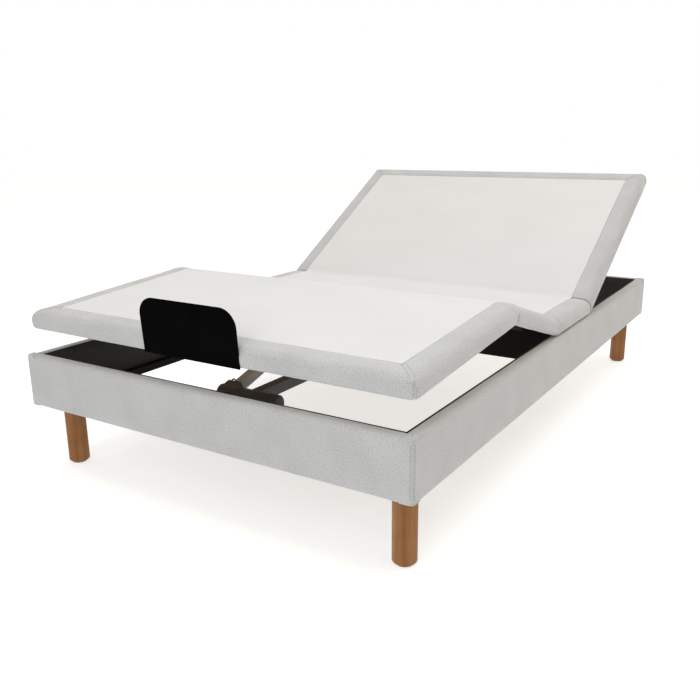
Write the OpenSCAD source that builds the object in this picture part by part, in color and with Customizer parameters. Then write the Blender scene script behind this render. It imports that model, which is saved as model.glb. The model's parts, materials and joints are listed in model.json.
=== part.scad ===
/* [Overall size] */
// Width over the upholstered box
bed_w = 1200; // [1000:10:1500]
// Length over the upholstered box
bed_l = 2000; // [1950:10:2400]
// Height of the upholstered box
box_h = 144; // [136:1:180]

/* [Legs] */
// Height of a wooden leg without its glide
leg_h = 185; // [100:1:260]
// Diameter of a wooden leg
leg_d = 57; // [45:1:60]
// Chamfer around the lower end of a leg
leg_chamfer = 5; // [2:0.5:8]
// From the side of the box to the middle of a leg
leg_inset_x = 64; // [62:1:75]
// From the end of the box to the middle of a leg
leg_inset_y = 87; // [70:1:100]
// Height of the glide under a leg
glide_h = 3; // [2:0.5:6]
// Diameter of the glide under a leg
glide_d = 40; // [20:1:44]
// Diameter of the bolt between a leg and its corner block
leg_bolt_d = 10; // [8:1:12]
// How far the bolt goes into the leg
leg_bolt_depth = 32; // [20:1:50]

/* [Box rails] */
// Thickness of the timber core of a rail
core_t = 22; // [16:1:26]
// Thickness of the padding on the outer face of a rail
rail_pad_t = 9; // [6:0.5:14]
// Thickness of the padding on the top of a rail
rail_top_pad_t = 10; // [6:0.5:14]
// Thickness of the fabric turned in below a rail
rail_turn_in_t = 3; // [2:0.5:5]
// Thickness of the black lining inside the box
lining_t = 2; // [1:0.5:3]
// Radius of the padded top edges of a rail
rail_top_r = 13; // [6:0.5:15]
// Radius of the outer bottom edge of a rail
rail_bottom_r = 5; // [3:0.5:5]
// Width of a corner block along the foot and head rails
block_w = 80; // [70:1:100]
// Length of a corner block along the side rails
block_l = 100; // [90:1:140]
// Height of a corner block
block_h = 40; // [30:1:60]

/* [Chassis] */
// Width of the ledger under the ends of the cross tubes
ledger_w = 22; // [15:1:35]
// Height of the ledger
ledger_h = 21; // [12:1:24]
// Outer size of a square cross tube
tube_size = 20; // [16:1:24]
// Wall of a cross tube and of the centre beam
tube_wall = 2; // [1.5:0.5:3]
// Width of the centre beam
beam_w = 30; // [24:1:45]
// Height of the centre beam
beam_h = 30; // [26:1:50]
// Sideways place of the centre beam's middle
beam_x = 3; // [0:1:10]
// Thickness of the cross board under the seat section
cross_board_t = 18; // [12:1:22]
// Middle of the cross board, measured from the thigh hinge toward the head
cross_board_set = 123; // [100:1:150]
// Distance from the foot cross tube to the tube under the beam's foot end
beam_tube_set = 104; // [100:1:140]

/* [Deck] */
// How far the flat deck stays inside each end of the box
deck_end_setback = 7.5; // [5:0.5:20]
// How far the deck stays inside each side of the box
deck_side_setback = 6.5; // [2:0.5:12]
// Length of the back section
back_len = 760; // [630:5:915]
// Length of the seat section
seat_len = 312; // [260:1:370]
// Length of the thigh section
thigh_len = 359; // [320:1:430]
// Thickness of the deck from the white fabric to the lower edge of the border
deck_t = 52; // [48:1:64]
// Clearance between the lowered deck and the box
deck_gap = 1; // [0.5:0.5:3]
// Thickness of a deck board
board_t = 18; // [15:1:20]
// Thickness of the foam and fabric on a deck board
foam_t = 15; // [12:1:18]
// Thickness of the white top fabric
sheet_t = 1.2; // [0.8:0.2:2]
// Width of the grey border on the top of the deck
border_w = 63; // [50:1:80]
// Thickness of the padding on the edge of a board
edge_pad_t = 20.5; // [18:0.5:26]
// Radius of the upper edge of the border
border_top_r = 18; // [10:1:19]
// Radius of the lower edge of the border
border_bottom_r = 9; // [5:1:12]
// Gap between a section and the plane of its hinge
joint_gap = 1; // [0.5:0.5:2]
// Width of a stiffening channel under a board
channel_w = 30; // [20:1:40]
// From the side of the board to the middle of a channel
channel_inset = 93; // [80:1:150]
// Wall of a channel
channel_wall = 2; // [1.5:0.5:3]
// Distance from a hinge or an end to the end of a channel
channel_end = 26; // [20:1:40]

/* [Travel] */
// Angle of the back section as modelled
back_rest = 29.6; // [0:0.1:60]
// Highest angle of the back section
back_max = 62; // [45:1:65]
// Angle of the thigh section as modelled
thigh_rest = 17.1; // [5:0.1:35]
// Highest angle of the thigh section
thigh_max = 35; // [25:1:38]
// Fall of the leg section toward the foot as modelled
leg_fall = 4.1; // [2:0.1:5]
// Extra angle left open in every padded fold
fold_spare = 1.5; // [1:0.5:4]

/* [Hinges] */
// Radius of a deck hinge knuckle
knuckle_r = 4; // [3:0.5:5]
// Diameter of a deck hinge pin
hinge_pin_d = 4; // [3:0.5:5]
// Thickness of a hinge leaf
leaf_t = 1.5; // [1:0.5:2.5]
// Reach of a hinge leaf from the pin
leaf_reach = 30; // [22:1:40]
// Width of a hinge leaf
leaf_w = 60; // [45:1:90]
// Distance from the white field's edge to the middle of an outer hinge
hinge_inset = 100.5; // [90:0.5:200]
// Running clearance of pins and rods
run_fit = 0.15; // [0.1:0.05:0.3]
// Clearance between parts that move past each other
free_gap = 1; // [0.5:0.5:2]

/* [Actuators] */
// Sideways place of both actuators
act_x = -39; // [-60:1:-39]
// Radius of an actuator's outer tube
act_tube_r = 17; // [15:0.5:19]
// Radius of an actuator's rod
act_rod_r = 10; // [8:0.5:11]
// Radius of the eyes at both ends of an actuator
act_eye_r = 11; // [10:0.5:13]
// Diameter of the clevis pins
clevis_pin_d = 10; // [8:0.5:11]
// Width of an actuator eye
act_eye_w = 24; // [18:1:28]
// Radius of a motor
motor_r = 24; // [22:1:29]
// Distance from the rear pin to the motor's axis
motor_set = 46; // [44:1:70]
// Thickness of the cheeks of brackets
cheek_t = 4; // [3:0.5:6]
// Height of the actuators' rear pins above the floor
rear_pin_z = 246; // [240:1:252]
// Distance from the nearest place beside the corner blocks to the foot actuator's rear pin
foot_act_set = 1.5; // [0:0.5:40]
// Distance from the thigh hinge to the thigh's lift pin
thigh_pin_set = 295; // [260:1:310]
// Depth of the thigh's lift pin below the deck's top
thigh_pin_drop = 78; // [74:1:85]
// Distance from the thigh hinge to the head actuator's rear pin
head_act_reach = 21; // [10:1:60]
// Distance from the back hinge to the back's lift pin
back_pin_set = 50; // [40:1:70]
// Depth of the back's lift pin below the deck's top
back_pin_drop = 120; // [105:1:125]
// Wall around the screw tube at the gear case
gear_rim = 4; // [3:0.5:5]
// Reach of the foot motor's round end to the left of its tube
foot_motor_left = 24; // [24:1:60]
// Reach of the foot motor's body to the right of its tube
foot_motor_right = 160; // [60:1:170]
// Reach of the head motor's body to the left of its tube
head_motor_left = 150; // [80:1:180]
// Reach of the head motor's round end to the right of its tube
head_motor_right = 22; // [22:1:26]
// Length of rod that stays inside its tube when it is out
rod_overlap = 50; // [40:1:60]
// Length of the cheeks of the back's lift bracket along the deck
back_bracket_l = 96; // [90:1:120]
// Rim of bracket around a slot
cheek_rim = 7; // [5:0.5:8]
// Least gap between an actuator's rod pin eye and its tube
mouth_gap = 18; // [14:1:24]
// Room beside the head actuator's tube where it passes the cross board
act_room = 8; // [5:1:12]
// Height of that opening above the rear pins
act_room_h = 71; // [60:1:78]

/* [Leg prop] */
// Distance from the knee hinge to the prop's upper pin
prop_pin_set = 310; // [290:1:330]
// Depth of the prop's upper pin below the deck's top
prop_pin_drop = 72; // [68:1:80]
// Thickness of a prop arm
prop_arm_t = 8; // [6:1:10]
// Radius of a prop arm's ends
prop_end_r = 11; // [9:0.5:12]
// Width of the prop's post and of its bracket under the leg section
prop_post_w = 24; // [20:1:28]
// Length of the cheeks of the prop's bracket along the deck
leg_bracket_l = 44; // [40:1:60]

/* [Retainer] */
// Width of the mattress retainer
retainer_w = 300; // [240:5:500]
// Height of the retainer above the deck's top
retainer_rise = 88; // [60:1:140]
// Thickness of the retainer plate
retainer_t = 3; // [2:0.5:4]
// Radius of the retainer's upper corners
retainer_r = 46; // [20:1:60]
// Diameter of the studs that hold the plate
stud_d = 6; // [5:0.5:8]
// Length of a stud inside the board
stud_grip = 24; // [15:1:40]
// Distance from a stud to the plate's edge
stud_inset = 60; // [30:1:100]

/* [Control box] */
// Width of the control box
control_w = 150; // [100:1:200]
// Height of the control box
control_h = 90; // [60:1:100]
// Depth of the control box
control_d = 44; // [30:1:60]
// Diameter of the power inlet
inlet_d = 16; // [10:1:24]
// Gap between the centre beam and the control box
control_set = 107; // [40:1:200]
// Height of the control box above the cross tubes
control_rise = 4; // [0:1:20]

/* [Hidden] */

$fn = 64;
FABRIC = "gainsboro";
WHITE = "whitesmoke";
TIMBER = "burlywood";
LEG_WOOD = "sienna";
STEEL = "#3a3a3c";
BLACK = "#1c1c1e";
BRIGHT = "silver";
FOAM = "khaki";
LINING = "#2c2c2e";

// Heights above the floor
box_z = leg_h + glide_h;
box_top = box_z + box_h;
deck_low = box_top + deck_gap;
deck_top = deck_low + deck_t;
tube_z = box_z + ledger_h;
beam_z = tube_z + tube_size;
beam_top = beam_z + beam_h;
valley_depth = foam_t;
ridge_depth = foam_t + board_t;
channel_h = deck_t - ridge_depth;

// Plan of the box
rail_t = lining_t + core_t + rail_pad_t;
inner_x = bed_w / 2 - rail_t;
inner_y = bed_l / 2 - rail_t;
tube_ends = inner_y - block_l - tube_size / 2 - free_gap;

// Plan of the deck
deck_w = bed_w - 2 * deck_side_setback;
deck_end = bed_l / 2 - deck_end_setback;
back_y = deck_end - back_len;
thigh_y = back_y - seat_len;
knee_y = thigh_y - thigh_len;
board_x = deck_w / 2 - edge_pad_t;
sheet_x = deck_w / 2 - border_w;
hinge_pitch = sheet_x - hinge_inset;

// Folds
back_half = back_max / 2 + fold_spare;
thigh_half = thigh_max / 2 + fold_spare;
knee_rest = thigh_rest + leg_fall;
knee_ratio = knee_rest / thigh_rest;
knee_half = thigh_max * knee_ratio / 2 + fold_spare;

// Hinge axes in the side plane, [y, z]
back_axis = [back_y, deck_top - valley_depth];
thigh_axis = [thigh_y, deck_top - valley_depth];
knee_axis = [knee_y, deck_top - ridge_depth];

// Point p turned by angle a about point c, all in the side plane
function turned(p, c, a) =
    c + [(p[0] - c[0]) * cos(a) - (p[1] - c[1]) * sin(a), (p[0] - c[0]) * sin(a) + (p[1] - c[1]) * cos(a)];
// Where a point of the lowered deck goes when its section is raised
function on_back(p, a) = turned(p, back_axis, a);
function on_thigh(p, a) = turned(p, thigh_axis, -a);
function on_leg(p, a) = on_thigh(turned(p, knee_axis, a * knee_ratio), a);
function heading(v) = atan2(v[1], v[0]);
function mid(p, q) = (p + q) / 2;
// Centre of the circle through three points
function circle_centre(a, b, c) =
    let (d = 2 * (a[0] * (b[1] - c[1]) + b[0] * (c[1] - a[1]) + c[0] * (a[1] - b[1])))
    [(a * a * (b[1] - c[1]) + b * b * (c[1] - a[1]) + c * c * (a[1] - b[1])) / d,
     (a * a * (c[0] - b[0]) + b * b * (a[0] - c[0]) + c * c * (b[0] - a[0])) / d];

// A link is [pivot, length lowered, length raised, heading lowered, heading raised, travel]
function link(pivot, low, high, travel) =
    let (from = heading(low - pivot), to = heading(high - pivot))
    [pivot, norm(low - pivot), norm(high - pivot), from, to + 360 * round((from - to) / 360), travel];
function link_length(k, a) = k[1] + (k[2] - k[1]) * a / k[5];
function link_heading(k, a) = k[3] + (k[4] - k[3]) * a / k[5];
function link_pin(k, a) = k[0] + link_length(k, a) * [cos(link_heading(k, a)), sin(link_heading(k, a))];

// Foot actuator between the chassis and the thigh section
foot_act_pivot = [foot_act_set - tube_ends, rear_pin_z];
thigh_pin = [thigh_y - thigh_pin_set, deck_top - thigh_pin_drop];
foot_act = link(foot_act_pivot, thigh_pin, on_thigh(thigh_pin, thigh_max), thigh_max);
// Head actuator between the chassis and the back section
head_act_pivot = [thigh_y - head_act_reach, rear_pin_z];
back_pin = [back_y + back_pin_set, deck_top - back_pin_drop];
head_act = link(head_act_pivot, back_pin, on_back(back_pin, back_max), back_max);
// Prop between the chassis and the leg section
prop_pin = [knee_y - prop_pin_set, deck_top - prop_pin_drop];
prop_pivot = circle_centre(prop_pin, on_leg(prop_pin, thigh_max / 2), on_leg(prop_pin, thigh_max));
prop = link(prop_pivot, prop_pin, on_leg(prop_pin, thigh_max), thigh_max);

SLOT_STEPS = 4;
// Path of each pin as its bracket sees it, from lowered to raised
thigh_slot = [for (i = [0:SLOT_STEPS]) let (a = thigh_max * i / SLOT_STEPS)
    turned(link_pin(foot_act, a), thigh_axis, a)];
back_slot = [for (i = [0:SLOT_STEPS]) let (a = back_max * i / SLOT_STEPS)
    turned(link_pin(head_act, a), back_axis, -a)];
leg_slot = [for (i = [0:SLOT_STEPS]) let (a = thigh_max * i / SLOT_STEPS)
    turned(turned(link_pin(prop, a), thigh_axis, a), knee_axis, -a * knee_ratio)];

// Chassis places
cross_board_y = thigh_y + cross_board_set;
foot_tube_y = foot_act_pivot[0];
beam_foot_tube_y = foot_tube_y + beam_tube_set;
beam_foot_y = beam_foot_tube_y - tube_size / 2;
leg_x = bed_w / 2 - leg_inset_x;
leg_y = bed_l / 2 - leg_inset_y;

// Brackets, pins and drives
pin_room_r = clevis_pin_d / 2 + run_fit;
clevis_w = act_eye_w + 2 * (free_gap + cheek_t);
clevis_r = act_eye_r + 1;
gear_r = act_tube_r + gear_rim;
gear_l = motor_r + 2 * gear_rim;
tube_mouth = act_eye_r + mouth_gap;
prop_arm_x = prop_post_w / 2 + free_gap + prop_arm_t / 2;
prop_w = 2 * prop_arm_x + prop_arm_t;
prop_rest_pin = link_pin(prop, thigh_rest);
stud_pitch = retainer_w - 2 * stud_inset;
stud_z = deck_top - foam_t - board_t / 2;

module about(axis, angle) {
    translate([0, axis[0], axis[1]]) rotate([angle, 0, 0]) translate([0, -axis[0], -axis[1]]) children();
}

module posed_back() about(back_axis, back_rest) children();

module posed_thigh() about(thigh_axis, -thigh_rest) children();

module posed_leg() posed_thigh() about(knee_axis, knee_rest) children();

// Side-plane outline, [y, z], drawn out along X
module along_x(x0, x1) translate([x0, 0, 0]) rotate([90, 0, 90]) linear_extrude(x1 - x0) children();

// Cross-section outline, [x, z], drawn out along Y
module along_y(y0, y1) translate([0, y1, 0]) rotate([90, 0, 0]) linear_extrude(y1 - y0) children();

// Round bar along X with its middle at x
module bar_x(x, p, r, w) translate([x - w / 2, p[0], p[1]]) rotate([0, 90, 0]) cylinder(r = r, h = w);

module block(x0, x1, y0, y1, z0, z1) translate([x0, y0, z0]) cube([x1 - x0, y1 - y0, z1 - z0]);

// Rectangle below y = 0 with separate radii at its upper and lower corners
module soft_rect(w, h, r_top, r_low) {
    translate([-w / 2, r_low - h]) square([w, h - r_top - r_low]);
    translate([r_top - w / 2, -r_top]) square([w - 2 * r_top, r_top]);
    translate([r_low - w / 2, -h]) square([w - 2 * r_low, r_low]);
    for (side = [-1, 1]) {
        translate([side * (w / 2 - r_top), -r_top]) circle(r = r_top);
        translate([side * (w / 2 - r_low), r_low - h]) circle(r = r_low);
    }
}

// ---------- Box ----------

module rail_section() {
    difference() {
        translate([rail_t / 2, box_h]) soft_rect(rail_t, box_h, rail_top_r, rail_bottom_r);
        translate([rail_pad_t, rail_turn_in_t])
            square([core_t + lining_t + rail_turn_in_t, box_h - rail_top_pad_t - rail_turn_in_t]);
    }
}

// Mitred padded cover of a rail that lies along X with its outer face at y = 0
module rail_cover(len) {
    color(FABRIC) intersection() {
        along_x(-len / 2, len / 2) rail_section();
        translate([0, 0, -1]) linear_extrude(box_h + 2)
            polygon([[-len / 2, 0], [len / 2, 0], [len / 2 - rail_t, rail_t], [rail_t - len / 2, rail_t]]);
    }
}

module rail_core(len) {
    color(TIMBER) block(-len / 2, len / 2, rail_pad_t, rail_pad_t + core_t,
        rail_turn_in_t, box_h - rail_top_pad_t);
}

module at_foot() translate([0, -bed_l / 2, box_z]) children();
module at_head() rotate([0, 0, 180]) at_foot() children();
module at_right() translate([bed_w / 2, 0, box_z]) rotate([0, 0, 90]) children();
module at_left() rotate([0, 0, 180]) at_right() children();

module foot_rail() at_foot() rail_core(bed_w - 2 * (rail_pad_t + core_t));
module head_rail() at_head() rail_core(bed_w - 2 * (rail_pad_t + core_t));
module left_rail() at_left() rail_core(bed_l - 2 * rail_pad_t);
module right_rail() at_right() rail_core(bed_l - 2 * rail_pad_t);

module foot_rail_cover() at_foot() rail_cover(bed_w);
module head_rail_cover() at_head() rail_cover(bed_w);
module left_rail_cover() at_left() rail_cover(bed_l);
module right_rail_cover() at_right() rail_cover(bed_l);

module lining_strip(len) {
    block(-len / 2, len / 2, rail_t - lining_t, rail_t, rail_turn_in_t, box_h - rail_top_pad_t);
}

module inner_lining() {
    color(LINING) {
        at_foot() lining_strip(2 * inner_x);
        at_head() lining_strip(2 * inner_x);
        at_left() lining_strip(2 * (inner_y + lining_t));
        at_right() lining_strip(2 * (inner_y + lining_t));
    }
}

module at_corners() {
    for (sx = [-1, 1], sy = [-1, 1]) translate([sx * leg_x, sy * leg_y, 0]) children();
}

module corner_blocks() {
    color(TIMBER) difference() {
        for (sx = [0, 1], sy = [0, 1]) mirror([sx, 0, 0]) mirror([0, sy, 0])
            block(inner_x - block_w, inner_x, inner_y - block_l, inner_y, box_z, box_z + block_h);
        at_corners() translate([0, 0, box_z - 1]) cylinder(d = leg_bolt_d + 2 * run_fit, h = block_h + 2);
    }
}

module leg_bolts() {
    color(BRIGHT) at_corners() translate([0, 0, box_z - leg_bolt_depth])
        cylinder(d = leg_bolt_d, h = leg_bolt_depth + block_h);
}

module leg() {
    color(LEG_WOOD) difference() {
        translate([0, 0, glide_h]) union() {
            cylinder(d1 = leg_d - 2 * leg_chamfer, d2 = leg_d, h = leg_chamfer);
            translate([0, 0, leg_chamfer]) cylinder(d = leg_d, h = leg_h - leg_chamfer);
        }
        translate([0, 0, box_z - leg_bolt_depth - 1])
            cylinder(d = leg_bolt_d + 2 * run_fit, h = leg_bolt_depth + 2);
    }
}

module foot_left_leg() translate([-leg_x, -leg_y, 0]) leg();
module foot_right_leg() translate([leg_x, -leg_y, 0]) leg();
module head_left_leg() translate([-leg_x, leg_y, 0]) leg();
module head_right_leg() translate([leg_x, leg_y, 0]) leg();

module leg_glides() {
    color(BLACK) at_corners() cylinder(d = glide_d, h = glide_h);
}

// ---------- Chassis ----------

module side_ledgers() {
    color(BLACK) for (sx = [0, 1]) mirror([sx, 0, 0])
        block(inner_x - ledger_w, inner_x, block_l - inner_y, inner_y - block_l, box_z, tube_z);
}

module hollow_tube(len, w, h) {
    difference() {
        cube([len, w, h]);
        translate([-1, tube_wall, tube_wall]) cube([len + 2, w - 2 * tube_wall, h - 2 * tube_wall]);
    }
}

module cross_tubes() {
    color(STEEL) for (y = [foot_tube_y, beam_foot_tube_y, tube_ends])
        translate([-inner_x, y - tube_size / 2, tube_z]) hollow_tube(2 * inner_x, tube_size, tube_size);
}

module centre_beam() {
    color(STEEL) translate([beam_x + beam_w / 2, beam_foot_y, beam_z]) rotate([0, 0, 90])
        hollow_tube(tube_ends + tube_size / 2 - beam_foot_y, beam_w, beam_h);
}

// Openings for the centre beam and for the swinging head actuator
module cross_board() {
    y0 = cross_board_y - cross_board_t / 2;
    color(BLACK) difference() {
        block(-inner_x, inner_x, y0, y0 + cross_board_t, tube_z, deck_low);
        block(beam_x - beam_w / 2, beam_x + beam_w / 2, y0 - 1, y0 + cross_board_t + 1, beam_z, beam_top);
        block(act_x - act_tube_r - act_room, act_x + act_tube_r + act_room, y0 - 1,
            y0 + cross_board_t + 1, beam_z, rear_pin_z + act_room_h);
    }
}

// ---------- Deck sections, drawn lowered ----------

// Outlines of section ends, upward; side is +1 at a section's head end and -1 at its foot end
function valley_end(y, side, half) = [
    [y - side * joint_gap, -deck_t - 5],
    [y - side * joint_gap, -valley_depth],
    [y - side * (joint_gap + (valley_depth + 5) * tan(half)), 5]
];
function ridge_end(y, side, half) = [
    [y - side * (joint_gap + (deck_t + 5 - ridge_depth) * tan(half)), -deck_t - 5],
    [y - side * joint_gap, -ridge_depth],
    [y - side * joint_gap, 5]
];
function free_end(y) = [[y, -deck_t - 5], [y, 5]];
function reversed(v) = [for (i = [len(v) - 1:-1:0]) v[i]];

module between(head_pts, foot_pts) {
    intersection() {
        translate([0, 0, deck_top]) along_x(-deck_w / 2 - 5, deck_w / 2 + 5)
            polygon(concat(head_pts, reversed(foot_pts)));
        union() children();
    }
}

module back_space() between(free_end(deck_end), valley_end(back_y, -1, back_half)) children();
module seat_space()
    between(valley_end(back_y, 1, back_half), valley_end(thigh_y, -1, thigh_half)) children();
module thigh_space()
    between(valley_end(thigh_y, 1, thigh_half), ridge_end(knee_y, -1, knee_half)) children();
module leg_space() between(ridge_end(knee_y, 1, knee_half), free_end(-deck_end)) children();

module slab(x, y0, y1, depth0, depth1) block(-x, x, y0, y1, deck_top - depth1, deck_top - depth0);

module hinge_row() for (i = [-1:1]) translate([i * hinge_pitch, 0, 0]) children();

// Room for the knuckles of a row of hinges
module knuckle_room(axis) hinge_row() bar_x(0, axis, knuckle_r + free_gap, leaf_w + 2 * free_gap);

// Recess for the leaves of a row of hinges; up is 1 above the board and 0 below it
module leaf_room(axis, side, up) {
    hinge_row() block(-leaf_w / 2, leaf_w / 2, min(axis[0], axis[0] + side * leaf_reach),
        max(axis[0], axis[0] + side * leaf_reach), axis[1] - leaf_t * up, axis[1] + leaf_t * (1 - up));
}

module deck_board(y0, y1) color(TIMBER) difference() {
    slab(board_x, y0, y1, foam_t, ridge_depth);
    children();
}

module deck_foam(y0, y1) color(FOAM) difference() {
    slab(sheet_x, y0, y1, sheet_t, foam_t);
    children();
}

module deck_sheet(y0, y1) color(WHITE) slab(sheet_x, y0, y1, 0, sheet_t);

// Padded border: the outer pad less the board, the channels' space and the white field
module deck_border(y0, y1, foot_round, head_round, drop) {
    reach = y1 - y0;
    color(FABRIC) difference() {
        intersection() {
            translate([0, 0, deck_top]) along_y(y0, y1)
                soft_rect(deck_w, deck_t + drop, border_top_r, border_bottom_r);
            translate([0, y0 + (head_round ? 0 : 1) * reach, deck_top])
                along_x(-deck_w / 2 - 1, deck_w / 2 + 1) if (foot_round || head_round)
                    soft_rect(2 * reach, deck_t + drop, border_top_r, border_bottom_r);
                else
                    translate([-2 * reach, -deck_t - drop]) square([4 * reach, deck_t + drop]);
        }
        slab(board_x, y0 + (foot_round ? edge_pad_t : -1), y1 - (head_round ? edge_pad_t : -1),
            foam_t, deck_t + drop + 1);
        slab(sheet_x, y0 + (foot_round ? border_w : -1), y1 - (head_round ? border_w : -1),
            -1, foam_t + 1);
    }
}

module channel_pair(y0, y1) {
    color(STEEL) for (sx = [0, 1]) mirror([sx, 0, 0])
        translate([board_x - channel_inset - channel_w / 2, y0 + channel_end, deck_top - deck_t])
            difference() {
                cube([channel_w, y1 - y0 - 2 * channel_end, channel_h]);
                translate([channel_wall, -1, -1])
                    cube([channel_w - 2 * channel_wall, y1 - y0, channel_h - channel_wall + 1]);
            }
}

// Leaf of a deck hinge: side tells which way it reaches, outer leaves carry the two end knuckles
module hinge_leaf(axis, side, up, outer) {
    third = leaf_w / 3;
    gap = outer ? 0 : free_gap / 2;
    spans = outer ? [-third, third] : [0];
    z0 = axis[1] - leaf_t * up;
    start = axis[0] + side * (knuckle_r + free_gap);
    tip = axis[0] + side * leaf_reach;
    difference() {
        union() {
            block(-leaf_w / 2, leaf_w / 2, min(start, tip), max(start, tip), z0, z0 + leaf_t);
            for (x = spans) {
                bar_x(x, axis, knuckle_r, third - 2 * gap);
                block(x - third / 2 + gap, x + third / 2 - gap, min(axis[0], start), max(axis[0], start),
                    z0, z0 + leaf_t);
            }
        }
        bar_x(0, axis, hinge_pin_d / 2 + run_fit, leaf_w + 2);
    }
}

module hinge_pins(axis) color(BRIGHT) hinge_row() bar_x(0, axis, hinge_pin_d / 2, leaf_w);

// ---------- Seat section ----------

module seat_board() seat_space() deck_board(thigh_y, back_y) {
    knuckle_room(back_axis);
    knuckle_room(thigh_axis);
    leaf_room(back_axis, -1, 1);
    leaf_room(thigh_axis, 1, 1);
}
module seat_foam() seat_space() deck_foam(thigh_y, back_y) {
    knuckle_room(back_axis);
    knuckle_room(thigh_axis);
}
module seat_sheet() seat_space() deck_sheet(thigh_y, back_y);
module seat_borders() seat_space() deck_border(thigh_y, back_y, false, false, deck_gap);
module seat_channels() channel_pair(thigh_y, back_y);
module seat_hinge_leaves() {
    color(BRIGHT) hinge_row() {
        hinge_leaf(back_axis, -1, 1, true);
        hinge_leaf(thigh_axis, 1, 1, true);
    }
}
module deck_hinge_pins() {
    hinge_pins(back_axis);
    hinge_pins(thigh_axis);
}

// ---------- Brackets and pins ----------

// Outline of a straight slot or arm with round ends between two points
function half_turn(c, r, from) = [for (i = [0:12]) c + r * [cos(from + 15 * i), sin(from + 15 * i)]];
function obround(p, q, r) =
    concat(half_turn(p, r, heading(q - p) + 90), half_turn(q, r, heading(q - p) - 90));

// Distance of point p from the line through a and b
function off_line(p, a, b) = abs((b[0] - a[0]) * (p[1] - a[1]) - (b[1] - a[1]) * (p[0] - a[0])) / norm(b - a);
// Half the width of a slot that a pin can follow along its whole path
function slot_r(path) =
    pin_room_r + free_gap / 2 + max([for (p = path) off_line(p, path[0], path[SLOT_STEPS / 2])]);

module pin_slot(path, x0, x1) along_x(x0 - 1, x1 + 1)
    polygon(obround(path[0], path[SLOT_STEPS / 2], slot_r(path)));

// Tapered cheek that hangs from height top down to below the pin's path
module cheek(x, top, base_y0, base_y1, path) {
    ys = [for (p = path) p[0]];
    low = min([for (p = path) p[1]]) - slot_r(path) - cheek_rim;
    y0 = min(ys) - slot_r(path) - cheek_rim;
    y1 = max(ys) + slot_r(path) + cheek_rim;
    along_x(x, x + cheek_t) polygon([
        [base_y1, top], [base_y0, top], [y0, low + slot_r(path)], [y0 + cheek_rim, low],
        [y1 - cheek_rim, low], [y1, low + slot_r(path)]
    ]);
}

// Upright clevis with its foot on a chassis tube or plate
module rear_clevis(pivot, base_z) {
    difference() {
        union() {
            for (side = [-1, 1]) {
                x = act_x + side * (act_eye_w / 2 + free_gap + cheek_t / 2);
                block(x - cheek_t / 2, x + cheek_t / 2, pivot[0] - clevis_r, pivot[0] + clevis_r,
                    base_z, pivot[1]);
                bar_x(x, pivot, clevis_r, cheek_t);
            }
            block(act_x - clevis_w / 2, act_x + clevis_w / 2, pivot[0] - clevis_r, pivot[0] + clevis_r,
                base_z, base_z + cheek_t);
        }
        bar_x(act_x, pivot, pin_room_r, clevis_w + 2);
    }
}

// Plate from the centre beam that carries the head actuator's clevis
module head_clevis_plate() {
    block(act_x - clevis_w / 2, beam_x + beam_w / 2, head_act_pivot[0] - clevis_r,
        head_act_pivot[0] + clevis_r, beam_z - cheek_t, beam_z);
}

// Post on the centre beam that carries the leg prop
module prop_post() {
    difference() {
        union() {
            block(beam_x - prop_post_w / 2, beam_x + prop_post_w / 2, prop_pivot[0] - prop_end_r,
                prop_pivot[0] + prop_end_r, beam_top, prop_pivot[1]);
            bar_x(beam_x, prop_pivot, prop_end_r, prop_post_w);
        }
        bar_x(beam_x, prop_pivot, pin_room_r, prop_post_w + 2);
    }
}

module pivot_brackets() {
    color(STEEL) {
        rear_clevis(foot_act_pivot, tube_z + tube_size);
        union() {
            rear_clevis(head_act_pivot, beam_z - cheek_t);
            head_clevis_plate();
        }
        prop_post();
    }
}

module pivot_pins() {
    color(BRIGHT) {
        bar_x(act_x, foot_act_pivot, clevis_pin_d / 2, clevis_w + 4);
        bar_x(act_x, head_act_pivot, clevis_pin_d / 2, clevis_w + 4);
        bar_x(beam_x, prop_pivot, clevis_pin_d / 2, prop_w + 4);
    }
}

module control_box() {
    y0 = cross_board_y + cross_board_t / 2;
    x0 = beam_x + beam_w / 2 + control_set;
    z0 = beam_z + control_rise;
    color(BLACK) difference() {
        block(x0, x0 + control_w, y0, y0 + control_d, z0, z0 + control_h);
        translate([x0 + control_w / 4, y0 + control_d / 2, z0 - 1]) cylinder(d = inlet_d, h = 11);
    }
}

// ---------- Back section ----------

module back_board() posed_back() back_space() deck_board(back_y, deck_end - edge_pad_t) {
    knuckle_room(back_axis);
    leaf_room(back_axis, 1, 1);
}
module back_foam() posed_back() back_space() deck_foam(back_y, deck_end - border_w)
    knuckle_room(back_axis);
module back_sheet() posed_back() back_space() deck_sheet(back_y, deck_end - border_w);
module back_border() posed_back() back_space() deck_border(back_y, deck_end, false, true, 0);
module back_channels() posed_back() channel_pair(back_y, deck_end - edge_pad_t);
module back_hinge_leaves() color(BRIGHT) posed_back() hinge_row() hinge_leaf(back_axis, 1, 1, false);

// Cheeks under a board with a slot for a pin, w apart over their outer faces
module slotted_bracket(x, w, base_len, path) {
    board_low = deck_top - ridge_depth;
    y0 = path[0][0] - base_len / 2;
    color(STEEL) difference() {
        union() {
            cheek(x - w / 2, board_low, y0, y0 + base_len, path);
            cheek(x + w / 2 - cheek_t, board_low, y0, y0 + base_len, path);
            block(x - w / 2, x + w / 2, y0, y0 + base_len, board_low - cheek_t, board_low);
        }
        pin_slot(path, x - w / 2, x + w / 2);
    }
}

module back_lift_bracket() posed_back() slotted_bracket(act_x, clevis_w, back_bracket_l, back_slot);

// ---------- Thigh section ----------

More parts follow.
